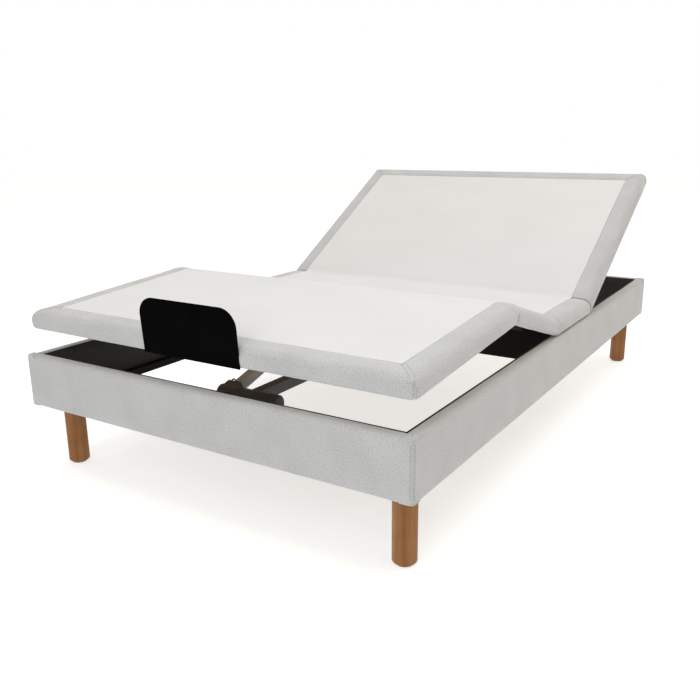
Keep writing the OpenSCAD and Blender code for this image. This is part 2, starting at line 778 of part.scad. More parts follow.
module thigh_board() posed_thigh() thigh_space() deck_board(knee_y, thigh_y) {
    knuckle_room(thigh_axis);
    knuckle_room(knee_axis);
    leaf_room(thigh_axis, -1, 1);
    leaf_room(knee_axis, 1, 0);
}
module thigh_foam() posed_thigh() thigh_space() deck_foam(knee_y, thigh_y) knuckle_room(thigh_axis);
module thigh_sheet() posed_thigh() thigh_space() deck_sheet(knee_y, thigh_y);
module thigh_borders() posed_thigh() thigh_space() deck_border(knee_y, thigh_y, false, false, 0);
module thigh_channels() posed_thigh() channel_pair(knee_y, thigh_y);
module thigh_lift_bracket() posed_thigh() slotted_bracket(act_x, clevis_w, 90, thigh_slot);
module thigh_hinge_leaves() {
    color(BRIGHT) posed_thigh() hinge_row() {
        hinge_leaf(thigh_axis, -1, 1, false);
        hinge_leaf(knee_axis, 1, 0, true);
    }
}
module knee_hinge_pins() posed_thigh() hinge_pins(knee_axis);

// ---------- Leg section ----------

module leg_board() posed_leg() leg_space() deck_board(edge_pad_t - deck_end, knee_y) {
    knuckle_room(knee_axis);
    leaf_room(knee_axis, -1, 0);
    stud_row() bar_y(0, stud_z, stud_d / 2 + run_fit, edge_pad_t + stud_grip + 1);
}
module leg_foam() posed_leg() leg_space() deck_foam(border_w - deck_end, knee_y);
module leg_sheet() posed_leg() leg_space() deck_sheet(border_w - deck_end, knee_y);
module leg_border() posed_leg() leg_space() difference() {
    deck_border(-deck_end, knee_y, true, false, 0);
    stud_row() bar_y(-1, stud_z, stud_d / 2 + run_fit, edge_pad_t + 2);
}
module leg_channels() posed_leg() channel_pair(edge_pad_t - deck_end, knee_y);
module leg_hinge_leaves() color(BRIGHT) posed_leg() hinge_row() hinge_leaf(knee_axis, -1, 0, false);

module leg_prop_bracket() posed_leg() slotted_bracket(beam_x, prop_post_w, leg_bracket_l, leg_slot);

// ---------- Retainer ----------

module stud_row() for (side = [-1, 1]) translate([side * stud_pitch / 2, -deck_end, 0]) children();

// Round bar along +Y from y0
module bar_y(y0, z, r, len) translate([0, y0, z]) rotate([-90, 0, 0]) cylinder(r = r, h = len);

module retainer_plate() {
    top = retainer_rise;
    color(BLACK) posed_leg() translate([0, -deck_end, deck_top])
        rotate([90, 0, 0]) linear_extrude(retainer_t) union() {
            translate([-retainer_w / 2, -deck_t]) square([retainer_w, deck_t + top - retainer_r]);
            translate([retainer_r - retainer_w / 2, 0]) square([retainer_w - 2 * retainer_r, top]);
            for (side = [-1, 1]) translate([side * (retainer_w / 2 - retainer_r), top - retainer_r])
                circle(r = retainer_r);
        }
}

module retainer_studs() color(BRIGHT) posed_leg() stud_row() bar_y(0, stud_z, stud_d / 2, edge_pad_t + stud_grip);

// ---------- Leg prop ----------

module leg_prop() {
    inner = prop_arm_x - prop_arm_t / 2;
    color(STEEL) difference() {
        union() {
            for (x = [beam_x - inner - prop_arm_t, beam_x + inner])
                along_x(x, x + prop_arm_t) polygon(obround(prop_pivot, prop_rest_pin, prop_end_r));
            bar_x(beam_x, mid(prop_pivot, prop_rest_pin), prop_end_r - 3, 2 * inner + 2);
            bar_x(beam_x, prop_rest_pin, clevis_pin_d / 2, prop_w + 4);
        }
        bar_x(beam_x, prop_pivot, pin_room_r, prop_w + 2);
    }
}

// ---------- Actuators, drawn along +Y from the rear pin at the origin ----------

module on_link(k, a) {
    translate([act_x, k[0][0], k[0][1]]) rotate([link_heading(k, a), 0, 0]) children();
}

module housing(k, motor_x0, motor_x1) {
    tube_end = k[1] - tube_mouth;
    color(BLACK) difference() {
        union() {
            bar_x(0, [0, 0], act_eye_r, act_eye_w);
            block(-act_eye_w / 2, act_eye_w / 2, 0, motor_set, -act_eye_r, act_eye_r);
            block(-gear_r, gear_r, motor_set - motor_r + 6, motor_set + gear_l, -gear_r, gear_r);
            bar_x((motor_x0 + motor_x1) / 2, [motor_set, 0], motor_r, motor_x1 - motor_x0);
            bar_y(motor_set, 0, act_tube_r, tube_end - motor_set);
        }
        bar_x(0, [0, 0], pin_room_r, act_eye_w + 2);
        bar_y(motor_set + gear_l + gear_rim, 0, act_rod_r + 2 * run_fit, tube_end);
    }
}

module rod(k, a) {
    len = link_length(k, a);
    start = len - (k[2] - k[1]) - tube_mouth - rod_overlap;
    color(BRIGHT) union() {
        bar_y(start, 0, act_rod_r, len - start - act_eye_r + 2);
        bar_x(0, [len, 0], act_eye_r, act_eye_w);
        bar_x(0, [len, 0], clevis_pin_d / 2, clevis_w + 4);
    }
}

module foot_actuator_housing() on_link(foot_act, thigh_rest) housing(foot_act, -foot_motor_left, foot_motor_right);
module foot_actuator_rod() on_link(foot_act, thigh_rest) rod(foot_act, thigh_rest);
module head_actuator_housing() on_link(head_act, back_rest) housing(head_act, -head_motor_left, head_motor_right);
module head_actuator_rod() on_link(head_act, back_rest) rod(head_act, back_rest);

// ---------- Nodes ----------

foot_rail();
head_rail();
left_rail();
right_rail();
foot_rail_cover();
head_rail_cover();
left_rail_cover();
right_rail_cover();
inner_lining();
corner_blocks();
leg_bolts();
leg_glides();
foot_left_leg();
foot_right_leg();
head_left_leg();
head_right_leg();
side_ledgers();
cross_tubes();
centre_beam();
cross_board();
seat_board();
seat_foam();
seat_sheet();
seat_borders();
seat_channels();
pivot_brackets();
pivot_pins();
control_box();
seat_hinge_leaves();
deck_hinge_pins();
back_board();
back_foam();
back_sheet();
back_border();
back_channels();
back_lift_bracket();
back_hinge_leaves();
thigh_board();
thigh_foam();
thigh_sheet();
thigh_borders();
thigh_channels();
thigh_lift_bracket();
thigh_hinge_leaves();
knee_hinge_pins();
leg_board();
leg_foam();
leg_sheet();
leg_border();
leg_channels();
leg_prop_bracket();
leg_hinge_leaves();
retainer_plate();
retainer_studs();
leg_prop();
foot_actuator_housing();
foot_actuator_rod();
head_actuator_housing();
head_actuator_rod();
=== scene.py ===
"""Adjustable bed base: an upholstered box on four legs, a folding padded deck and its drives."""

import json
import logging
import math
from dataclasses import dataclass, field
from enum import Enum
from typing import Callable, Iterable, Sequence

import bmesh
import bpy
from mathutils import Matrix, Vector, noise
from mathutils.bvhtree import BVHTree


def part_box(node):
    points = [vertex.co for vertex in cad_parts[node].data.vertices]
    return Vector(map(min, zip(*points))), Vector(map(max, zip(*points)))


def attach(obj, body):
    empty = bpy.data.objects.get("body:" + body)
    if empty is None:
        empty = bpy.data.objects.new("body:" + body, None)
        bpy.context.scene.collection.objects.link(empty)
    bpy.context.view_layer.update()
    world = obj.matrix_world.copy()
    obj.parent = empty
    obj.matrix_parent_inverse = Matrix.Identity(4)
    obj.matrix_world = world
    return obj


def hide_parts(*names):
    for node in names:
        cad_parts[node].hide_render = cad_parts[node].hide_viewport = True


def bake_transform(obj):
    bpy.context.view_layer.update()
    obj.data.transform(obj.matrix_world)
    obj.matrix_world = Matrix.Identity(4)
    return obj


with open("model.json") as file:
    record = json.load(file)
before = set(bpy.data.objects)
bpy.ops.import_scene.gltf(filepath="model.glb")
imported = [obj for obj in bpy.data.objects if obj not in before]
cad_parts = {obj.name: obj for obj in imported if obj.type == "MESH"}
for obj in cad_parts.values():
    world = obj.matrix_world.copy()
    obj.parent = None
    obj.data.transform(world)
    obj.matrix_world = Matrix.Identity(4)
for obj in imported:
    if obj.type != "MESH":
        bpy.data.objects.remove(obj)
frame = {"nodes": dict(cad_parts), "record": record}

LOG = logging.getLogger("bed_base")
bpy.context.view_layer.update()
MM = 0.001
PAST = 0.03  # how far a cutter reaches past the piece it cuts
CAST = 0.02  # how far off its cover a stitch starts
Colour = tuple[float, float, float]
Profile = Sequence[tuple[float, float]]
Mesh = bmesh.types.BMesh
Edge = bmesh.types.BMEdge
Socket = bpy.types.NodeSocket


# ---------------------------------------------------------------- finishes


class Graph:
    """The node tree of one material, with short calls that add and join nodes."""

    def __init__(self, name: str) -> None:
        """Start a material with a plain surface shader.

        Args:
            name: name of the material.
        """
        self.material = bpy.data.materials.new(name)
        self.material.use_nodes = True
        self.tree = self.material.node_tree
        self.shader = self.tree.nodes["Principled BSDF"]

    def add(self, kind: str, inputs: dict | None = None, **settings: object) -> bpy.types.Node:
        """Add a node.

        Args:
            kind: type name of the node.
            inputs: socket name or number, with a value or an output socket to join to it.
            **settings: properties of the node.

        Returns:
            The new node.
        """
        node = self.tree.nodes.new(kind)
        for key, value in settings.items():
            setattr(node, key, value)
        for key, value in (inputs or {}).items():
            self.feed(node.inputs[key], value)
        return node

    def feed(self, socket: Socket, value: object) -> None:
        """Join an output to a socket, or set the socket's own value.

        Args:
            socket: input that receives the value.
            value: output socket, number or tuple.
        """
        if isinstance(value, Socket):
            self.tree.links.new(value, socket)
        else:
            socket.default_value = value

    def place(self, space: str, scale: Sequence[float]) -> Socket:
        """Coordinates in metres, scaled along each axis.

        Args:
            space: "Object" or "UV".
            scale: factor along each axis.

        Returns:
            The scaled coordinates.
        """
        coords = self.add("ShaderNodeTexCoord").outputs[space]
        return self.add("ShaderNodeMapping", {"Vector": coords, "Scale": tuple(scale)}).outputs[0]

    def speckle(self, space: str, lumps: Sequence[float], detail: float = 3.0, rough: float = 0.55,
                scale: float = 1.0) -> Socket:
        """Noise between 0 and 1.

        Args:
            space: "Object" or "UV".
            lumps: how many lumps go in a metre along each axis.
            detail: octaves.
            rough: strength of the finer octaves.
            scale: factor on all the lumps.

        Returns:
            The noise value.
        """
        inputs = {"Vector": self.place(space, lumps), "Scale": scale, "Detail": detail, "Roughness": rough}
        return self.add("ShaderNodeTexNoise", inputs).outputs["Fac"]

    def cells(self, count: float, stray: float = 1.0) -> Socket:
        """Distance from the middle of each of many cells.

        Args:
            count: cells in a metre.
            stray: 0 for cells in rows, 1 for scattered ones.

        Returns:
            The distance.
        """
        inputs = {"Vector": self.place("Object", (count,) * 3), "Scale": 1.0, "Randomness": stray}
        return self.add("ShaderNodeTexVoronoi", inputs).outputs["Distance"]

    def sum(self, mode: str, a: object, b: object = 0.0) -> Socket:
        """One step of arithmetic.

        Args:
            mode: name of the operation.
            a: first value or socket.
            b: second value or socket.

        Returns:
            The result.
        """
        return self.add("ShaderNodeMath", {0: a, 1: b}, operation=mode).outputs[0]

    def mixed(self, a: object, share_a: float, b: object, share_b: float) -> Socket:
        """The sum of two values, each with its share."""
        return self.sum("ADD", self.sum("MULTIPLY", a, share_a), self.sum("MULTIPLY", b, share_b))

    def shades(self, value: Socket, stops: Sequence[tuple[float, Colour]]) -> Socket:
        """Colours picked along a ramp.

        Args:
            value: place on the ramp.
            stops: places with their colours.

        Returns:
            The colour.
        """
        ramp = self.add("ShaderNodeValToRGB", {"Fac": value})
        points = ramp.color_ramp.elements
        while len(points) < len(stops):
            points.new(0.5)
        for point, (at, colour) in zip(points, stops):
            point.position = at
            point.color = (*colour, 1.0)
        return ramp.outputs["Color"]

    def spread(self, value: Socket, low: float, high: float, start: float = 0.0, stop: float = 1.0) -> Socket:
        """Carry a value from start..stop to low..high."""
        inputs = {"Value": value, "From Min": start, "From Max": stop, "To Min": low, "To Max": high}
        return self.add("ShaderNodeMapRange", inputs).outputs[0]

    def bump(self, height: Socket, depth: float, strength: float = 1.0,
             over: Socket | None = None) -> Socket:
        """Small relief on the surface.

        Args:
            height: relief between 0 and 1.
            depth: metres between 0 and 1.
            strength: share of the relief that shows.
            over: relief that this one lies on.

        Returns:
            The bumped normal.
        """
        node = self.add("ShaderNodeBump", {"Height": height, "Distance": depth, "Strength": strength})
        if over is not None:
            self.feed(node.inputs["Normal"], over)
        return node.outputs[0]

    def surface(self, **sockets: object) -> bpy.types.Material:
        """Set the shader's sockets.

        Args:
            **sockets: socket names in lower case with underscores, and values or outputs.

        Returns:
            The material.
        """
        for key, value in sockets.items():
            self.feed(self.shader.inputs[key.replace("_", " ").title().replace("Ior", "IOR")], value)
        return self.material


@dataclass(frozen=True)
class MelangeWeave:
    """Soft woven cloth of light and darker yarns, on the cloth's own coordinates."""

    name: str = "grey_melange_weave"
    dark: Colour = (0.30, 0.304, 0.312)
    light: Colour = (0.60, 0.603, 0.61)
    yarn: float = 0.0016
    streaks: tuple[float, float] = (230.0, 620.0)
    uneven: float = 0.62
    depth: float = 0.0005

    def build(self) -> bpy.types.Material:
        """Yarn streaks both ways, a plain weave relief and a soft nap."""
        g = Graph(self.name)
        along, across = self.streaks
        warp = g.speckle("UV", (along, across, 1.0), 4.0, self.uneven)
        weft = g.speckle("UV", (across, along, 1.0), 4.0, self.uneven)
        drift = g.speckle("UV", (9.0, 9.0, 1.0), 2.0)
        yarns = g.mixed(g.sum("ADD", warp, weft), 0.44, drift, 0.12)
        turns = 2 * math.pi / self.yarn
        split = g.add("ShaderNodeSeparateXYZ", {0: g.place("UV", (turns, turns, 1.0))})
        weave = g.sum("MULTIPLY", *(g.sum("SINE", split.outputs[i]) for i in (0, 1)))
        relief = g.bump(g.sum("ADD", g.spread(weave, 0.2, 0.6), yarns), self.depth, 0.55)
        mid = tuple((a + b) / 2 for a, b in zip(self.dark, self.light))
        return g.surface(
            base_color=g.shades(yarns, [(0.36, self.dark), (0.5, mid), (0.66, self.light)]),
            roughness=g.spread(yarns, 0.95, 0.8), normal=relief, sheen_weight=0.25, sheen_roughness=0.5,
            specular_ior_level=0.2)


@dataclass(frozen=True)
class WhiteCloth:
    """Smooth close white cloth stretched over foam."""

    name: str = "white_smooth_cloth"
    base: Colour = (0.615, 0.614, 0.616)

    def build(self) -> bpy.types.Material:
        """Fine fibres, faint cloudiness and a slight relief."""
        g = Graph(self.name)
        fibre = g.speckle("UV", (900.0, 650.0, 1.0))
        tone = g.mixed(fibre, 0.45, g.speckle("UV", (3.0, 5.0, 1.0)), 0.55)
        low = tuple(c * 0.955 for c in self.base)
        high = tuple(min(1.0, c * 1.035) for c in self.base)
        hollows = g.bump(g.speckle("UV", (14.0, 14.0, 1.0)), 0.0012, 0.5)
        return g.surface(
            base_color=g.shades(tone, [(0.3, low), (0.7, high)]), roughness=g.spread(fibre, 0.7, 0.86),
            normal=g.bump(fibre, 0.0003, 0.4, hollows), sheen_weight=0.15, specular_ior_level=0.25)


@dataclass(frozen=True)
class FeltCloth:
    """Thin bonded cloth with a dotted press pattern."""

    name: str = "black_lining_cloth"
    dark: Colour = (0.022, 0.022, 0.023)
    light: Colour = (0.060, 0.060, 0.062)

    def build(self) -> bpy.types.Material:
        """Matted fibres and small pressed dots."""
        g = Graph(self.name)
        fibre = g.speckle("Object", (520.0,) * 3, 5.0, 0.7)
        relief = g.bump(g.sum("ADD", fibre, g.cells(380.0, 0.15)), 0.0006, 0.6)
        return g.surface(base_color=g.shades(fibre, [(0.35, self.dark), (0.7, self.light)]),
                         roughness=g.spread(fibre, 0.85, 0.98), normal=relief, specular_ior_level=0.15)


@dataclass(frozen=True)
class SawnWood:
    """Wood with rings, streaks and pores that run along one axis."""

    name: str
    dark: Colour
    mid: Colour
    light: Colour
    along: int
    ring: float = 0.006
    rough: tuple[float, float] = (0.45, 0.62)
    shine: float = 0.3

    def build(self) -> bpy.types.Material:
        """Stretch the noise along the grain, and add pores."""
        g = Graph(self.name)
        long = [1 / self.ring] * 3
        long[self.along] = 3.0
        fine = [900.0] * 3
        fine[self.along] = 22.0
        bend = g.speckle("Object", (9.0,) * 3, 2.0)
        rings = g.speckle("Object", long, 5.0, 0.6, 0.45)
        figure = g.mixed(rings, 0.7, bend, 0.3)
        pores = g.speckle("Object", fine, 2.0, 0.5)
        shade = g.sum("SUBTRACT", figure, g.sum("MULTIPLY", g.sum("GREATER_THAN", pores, 0.64), 0.07))
        relief = g.bump(pores, 0.0004, 0.35, g.bump(figure, 0.0003, 0.3))
        return g.surface(
            base_color=g.shades(shade, [(0.3, self.dark), (0.48, self.mid), (0.68, self.light)]),
            roughness=g.spread(pores, *self.rough), normal=relief, specular_ior_level=self.shine)


@dataclass(frozen=True)
class EdgePly:
    """Stained or raw board with lengthwise grain and fine plies at its edges."""

    name: str
    dark: Colour
    light: Colour
    plies: float = 700.0
    shine: float = 0.3

    def build(self) -> bpy.types.Material:
        """Grain on the faces, layered lines up the edges."""
        g = Graph(self.name)
        grain = g.speckle("Object", (6.0, 120.0, 120.0), 5.0, 0.6)
        tone = g.mixed(grain, 0.7, g.speckle("Object", (4.0, 4.0, self.plies), 1.0), 0.3)
        return g.surface(base_color=g.shades(tone, [(0.3, self.dark), (0.7, self.light)]),
                         roughness=g.spread(grain, 0.6, 0.8), normal=g.bump(tone, 0.0004, 0.4),
                         specular_ior_level=self.shine)


@dataclass(frozen=True)
class PowderCoat:
    """Sprayed and baked coat with a fine orange peel and rubbed edges."""

    name: str
    base: Colour
    worn: Colour
    rough: tuple[float, float] = (0.42, 0.6)
    shine: float = 0.3
    rubbed: tuple[float, float] = (0.53, 0.62)

    def build(self) -> bpy.types.Material:
        """Peel relief, slight dust and worn convex edges."""
        g = Graph(self.name)
        peel = g.speckle("Object", (700.0,) * 3, 2.0)
        dust = g.speckle("Object", (14.0,) * 3, 4.0, 0.6)
        edge = g.add("ShaderNodeNewGeometry").outputs["Pointiness"]
        rub = g.sum("MULTIPLY", g.spread(edge, 0.0, 1.0, *self.rubbed), dust)
        tint = g.sum("ADD", g.sum("MULTIPLY", dust, 0.25), rub)
        return g.surface(base_color=g.shades(tint, [(0.05, self.base), (0.9, self.worn)]),
                         roughness=g.spread(dust, *self.rough), normal=g.bump(peel, 0.0002, 0.35),
                         specular_ior_level=self.shine)


@dataclass(frozen=True)
class PlatedSteel:
    """Zinc-plated steel with drawn lines and cloudy passivation."""

    name: str = "zinc_plated_steel"
    dark: Colour = (0.38, 0.38, 0.40)
    light: Colour = (0.68, 0.68, 0.69)

    def build(self) -> bpy.types.Material:
        """Cloudy tone and faint drawn lines."""
        g = Graph(self.name)
        cloud = g.speckle("Object", (45.0,) * 3, 4.0, 0.6)
        lines = g.speckle("Object", (60.0, 900.0, 900.0), 2.0)
        return g.surface(base_color=g.shades(cloud, [(0.3, self.dark), (0.7, self.light)]), metallic=1.0,
                         roughness=g.spread(cloud, 0.24, 0.45), normal=g.bump(lines, 0.0001, 0.4))


@dataclass(frozen=True)
class MouldedPlastic:
    """Moulded plastic with a fine spark texture."""

    name: str
    base: Colour
    light: Colour
    rough: tuple[float, float] = (0.38, 0.55)

    def build(self) -> bpy.types.Material:
        """Spark texture and faint flow clouds."""
        g = Graph(self.name)
        grain = g.speckle("Object", (1400.0,) * 3, 2.0)
        flow = g.speckle("Object", (22.0,) * 3)
        return g.surface(base_color=g.shades(flow, [(0.3, self.base), (0.75, self.light)]),
                         roughness=g.spread(flow, *self.rough), normal=g.bump(grain, 0.00015, 0.5))


@dataclass(frozen=True)
class OpenFoam:
    """Open-cell foam, slightly yellowed."""

    name: str = "open_cell_foam"
    # dark: painted shade for the cell hollows
    dark: Colour = (0.56, 0.49, 0.30)
    light: Colour = (0.78, 0.72, 0.52)

    def build(self) -> bpy.types.Material:
        """Small cells, with painted shade darkening their hollows."""
        g = Graph(self.name)
        cells = g.cells(420.0)
        # the dark stop at the cell hollows is painted shade
        return g.surface(base_color=g.shades(cells, [(0.2, self.dark), (0.6, self.light)]), roughness=0.95,
                         normal=g.bump(cells, 0.0008, 0.6))


@dataclass(frozen=True)
class Thread:
    """Twisted sewing thread."""

    name: str = "grey_thread"
    base: Colour = (0.20, 0.19, 0.18)

    def build(self) -> bpy.types.Material:
        """Lighter and darker plies along the twist."""
        g = Graph(self.name)
        ply = g.speckle("Object", (1500.0,) * 3, 1.0)
        low = tuple(c * 0.7 for c in self.base)
        return g.surface(base_color=g.shades(ply, [(0.35, low), (0.65, self.base)]), roughness=0.7,
                         normal=g.bump(ply, 0.0002, 0.5))


@dataclass(frozen=True)
class StudioPaper:
    """Matt pale floor."""

    name: str = "pale_floor"
    base: Colour = (0.55, 0.55, 0.55)
    lift: float = 0.64

    def build(self) -> bpy.types.Material:
        """Nearly even tone with a little tooth."""
        g = Graph(self.name)
        tooth = g.speckle("Object", (40.0,) * 3, 2.0)
        low = tuple(c * 0.99 for c in self.base)
        return g.surface(
            base_color=g.shades(tooth, [(0.3, low), (0.7, self.base)]), roughness=0.95, specular_ior_level=0.0,
            emission_color=(1.0, 1.0, 1.0, 1.0), emission_strength=self.lift)


class Finish(Enum):
    """The finishes of the bed base, each made once."""

    GREY_WEAVE = MelangeWeave()
    WHITE_CLOTH = WhiteCloth()
    LINING = FeltCloth()
    FOAM = OpenFoam()
    LEG_WOOD = SawnWood("oiled_leg_wood", (0.16, 0.058, 0.016), (0.25, 0.108, 0.036), (0.36, 0.185, 0.082),
                        2, 0.012, shine=0.18)
    PINE = SawnWood("raw_pine", (0.42, 0.27, 0.13), (0.60, 0.43, 0.24), (0.72, 0.56, 0.36), 0, 0.007,
                    (0.6, 0.8))
    PLY = EdgePly("birch_ply", (0.46, 0.33, 0.19), (0.66, 0.52, 0.34))
    BLACK_BOARD = EdgePly("black_stained_board", (0.003, 0.003, 0.003), (0.008, 0.008, 0.008), shine=0.1)
    STEEL = PowderCoat("black_powder_coat", (0.010, 0.010, 0.011), (0.07, 0.07, 0.072))
    RETAINER = PowderCoat("retainer_coat", (0.0012, 0.0012, 0.0012), (0.003, 0.003, 0.003), (0.85, 0.95),
                          0.01)
    BRIGHT = PlatedSteel()
    PLASTIC = MouldedPlastic("black_moulded_plastic", (0.012, 0.012, 0.013), (0.03, 0.03, 0.031))
    TUBE_GREY = MouldedPlastic("grey_tube_coat", (0.30, 0.30, 0.31), (0.42, 0.42, 0.43), (0.35, 0.5))
    THREAD = Thread()
    FLOOR = StudioPaper()

    def material(self) -> bpy.types.Material:
        """The material of this finish, made the first time it is asked for."""
        found = bpy.data.materials.get(self.value.name)
        return found or self.value.build()


SLOT_FINISH: dict[str, Finish] = {
    "grey_weave": Finish.GREY_WEAVE,
    "white_cloth": Finish.WHITE_CLOTH,
    "black_lining": Finish.LINING,
    "foam": Finish.FOAM,
    "timber": Finish.PINE,
    "leg_wood": Finish.LEG_WOOD,
    "black_board": Finish.BLACK_BOARD,
    "black_steel": Finish.STEEL,
    "retainer_black": Finish.RETAINER,
    "bright_steel": Finish.BRIGHT,
    "black_plastic": Finish.PLASTIC,
}


# ---------------------------------------------------------------- mesh steps


def clamped(value: float) -> float:
    """The value, kept between 0 and 1."""
    return max(0.0, min(1.0, value))


def bell(away: float, width: float) -> float:
    """A smooth bump of height 1 that fades over a width."""
    return math.exp(-((away / width) ** 2))


def corners(node: str) -> tuple[Vector, Vector]:
    """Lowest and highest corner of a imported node."""
    low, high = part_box(node)
    return Vector(low), Vector(high)


def joint(name: str) -> dict:
    """A joint of the record, by its name."""
    return next(j for j in frame["record"]["behaviour"]["joints"] if j["name"] == name)


def everything(bm: Mesh) -> list:
    """All vertices, edges and faces of a mesh in work."""
    return [*bm.verts, *bm.edges, *bm.faces]


def eased(bm: Mesh, edges: Sequence[Edge], radius: float, steps: int, clamp: bool = False) -> None:
    """Round or chamfer edges.

    Args:
        bm: mesh in work.
        edges: edges to take down.
        radius: how far the cut reaches from each edge.
        steps: facets across it, 1 for a chamfer.
        clamp: keep neighbouring cuts from running into each other.
    """
    bmesh.ops.bevel(bm, geom=edges, offset=radius, segments=steps, profile=0.5, affect="EDGES", material=-1,
                    clamp_overlap=clamp)


def slice_at(bm: Mesh, point: Sequence[float], normal: Sequence[float], drop: bool = False) -> None:
    """Cut the mesh at a plane.

    Args:
        bm: mesh in work.
        point: a point on the plane.
        normal: direction across the plane.
        drop: take away what lies beyond the plane.
    """
    bmesh.ops.bisect_plane(bm, geom=everything(bm), dist=1e-7, plane_co=point, plane_no=normal,
                           clear_outer=drop)


def extruded(profile: Profile, start: float, end: float) -> Mesh:
    """An open-ended bar along Y.

    Args:
        profile: corners in X and Z, in order.
        start: lowest Y.
        end: highest Y.

    Returns:
        The bar, with both ends open.
    """
    bm = bmesh.new()
    ring = [bm.verts.new((x, start, z)) for x, z in profile]
    edges = [bm.edges.new((a, b)) for a, b in zip(ring, ring[1:] + ring[:1])]
    new = bmesh.ops.extrude_edge_only(bm, edges=edges)["geom"]
    far = [v for v in new if isinstance(v, bmesh.types.BMVert)]
    bmesh.ops.translate(bm, vec=(0, end - start, 0), verts=far)
    bmesh.ops.recalc_face_normals(bm, faces=bm.faces)
    return bm


def soften(bm: Mesh, corner: tuple[float, float], radius: float, steps: int) -> None:
    """Round one long edge of a bar.

    Args:
        bm: bar along Y.
        corner: X and Z of the edge.
        radius: radius of the round.
        steps: facets in the round.
    """
    def lies_on(edge: Edge) -> bool:
        """Whether the edge runs along the corner."""
        return all(abs(v.co.x - corner[0]) < 1e-5 and abs(v.co.z - corner[1]) < 1e-5 for v in edge.verts)

    eased(bm, [e for e in bm.edges if lies_on(e)], radius, steps)


def cut_rings(bm: Mesh, span: tuple[float, float], pitch: float, marks: Sequence[float], near: int,
              extra: Iterable[float] = ()) -> None:
    """Cut rings across a piece along Y, 3 mm apart beside its marks.

    Args:
        bm: mesh in work.
        span: lowest and highest Y of the piece.
        pitch: distance between rings elsewhere.
        marks: places that need closer rings.
        near: how many closer rings lie on each side of a mark.
        extra: further places to cut.
    """
    start, end = span
    count = max(1, int((end - start) / pitch))
    places = {round(start + (end - start) * i / count, 5) for i in range(1, count)} | set(extra)
    for mark in marks:
        places |= {round(mark + step * 3 * MM, 5) for step in range(-near, near + 1)}
    for y in sorted(places):
        if start + 1e-4 < y < end - 1e-4:
            slice_at(bm, (0, y, 0), (0, 1, 0))


def join(parts: Iterable[Mesh]) -> Mesh:
    """Put meshes together and weld what meets.

    Args:
        parts: meshes in work, used up by this.

    Returns:
        The joined mesh.
    """
    whole = bmesh.new()
    for part in parts:
        step = bpy.data.meshes.new("step")
        part.to_mesh(step)
        part.free()
        whole.from_mesh(step)
        bpy.data.meshes.remove(step)
    bmesh.ops.remove_doubles(whole, verts=whole.verts, dist=2e-6)
    bmesh.ops.recalc_face_normals(whole, faces=whole.faces)
    return whole


def copied(bm: Mesh, turn: Matrix) -> Mesh:
    """A moved copy of a mesh.

    Args:
        bm: mesh in work.
        turn: where the copy goes.

    Returns:
        The copy, facing outwards.
    """
    other = bm.copy()
    other.transform(turn)
    bmesh.ops.recalc_face_normals(other, faces=other.faces)
    return other


def close_ends(bm: Mesh) -> None:
    """Fill every open end of a mesh."""
    bmesh.ops.holes_fill(bm, edges=[e for e in bm.edges if e.is_boundary], sides=0)
    bmesh.ops.recalc_face_normals(bm, faces=bm.faces)


def pinch(bm: Mesh, point: Vector, normal: Vector, width: float, depth: float,
          where: Callable[[Vector], bool] = lambda co: True) -> None:
    """Pull a surface in along a plane, as a seam or a crease does.

    Args:
        bm: mesh in work.
        point: a point on the plane.
        normal: unit direction across the plane.
        width: distance over which the pull fades.
        depth: greatest pull.
        where: which points take part.
    """
    bm.normal_update()
    pulls = []
    for vert in bm.verts:
        away = (vert.co - point).dot(normal)
        if abs(away) < 3 * width and where(vert.co):
            pulls.append((vert, -vert.normal * depth * bell(away, width)))
    for vert, pull in pulls:
        vert.co += pull


def round_corner(bm: Mesh, corner: tuple[float, float], inward: tuple[int, int],
                 radius: float) -> None:
    """Round an upright corner in plan, drawing each square ring round it into a circle.

    Args:
        bm: mesh to change.
        corner: X and Y of the sharp corner.
        inward: signs that lead from the corner into the piece.
        radius: radius the outside takes.
    """
    for vert in bm.verts:
        across = radius - inward[0] * (vert.co.x - corner[0])
        along = radius - inward[1] * (vert.co.y - corner[1])
        if across <= 0 or along <= 0:
            continue
        drawn = max(across, along) / math.hypot(across, along)
        vert.co.x = corner[0] + inward[0] * (radius - across * drawn)
        vert.co.y = corner[1] + inward[1] * (radius - along * drawn)


def ripple(bm: Mesh, size: float, height: float, seed: float = 0.0) -> None:
    """Let a soft surface rise and fall a little.

    Args:
        bm: mesh in work.
        size: distance between waves.
        height: greatest rise.
        seed: offset that sets this piece apart.
    """
    bm.normal_update()
    shift = Vector((seed, -seed, seed * 2))
    moves = [(v, v.normal * height * noise.noise(v.co / size + shift)) for v in bm.verts]
    for vert, move in moves:
        vert.co += move


def cloth_map(bm: Mesh) -> None:
    """Lay the cloth's own coordinates, in metres, before the piece is bent."""
    bm.normal_update()
    layer = bm.loops.layers.uv.verify()
    across = {0: (1, 2), 1: (0, 2), 2: (0, 1)}
    for face in bm.faces:
        u, v = across[max(range(3), key=lambda i: abs(face.normal[i]))]
        for loop in face.loops:
            loop[layer].uv = (loop.vert.co[u], loop.vert.co[v])


def finished(bm: Mesh, name: str, finish: Finish, sharp: float = 40.0) -> bpy.types.Object:
    """Make a piece from a mesh in work.

    Args:
        bm: mesh in work, used up by this.
        name: name of the piece.
        finish: what the piece is made of.
        sharp: angle in degrees past which an edge stays crisp.

    Returns:
        The new object.
    """
    mesh = bpy.data.meshes.new(name)
    bm.to_mesh(mesh)
    bm.free()
    mesh.polygons.foreach_set("use_smooth", [True] * len(mesh.polygons))
    mesh.set_sharp_from_angle(angle=math.radians(sharp))
    mesh.materials.append(finish.material())
    obj = bpy.data.objects.new(name, mesh)
    bpy.context.scene.collection.objects.link(obj)
    LOG.info("%s: %d faces", name, len(mesh.polygons))
    return obj


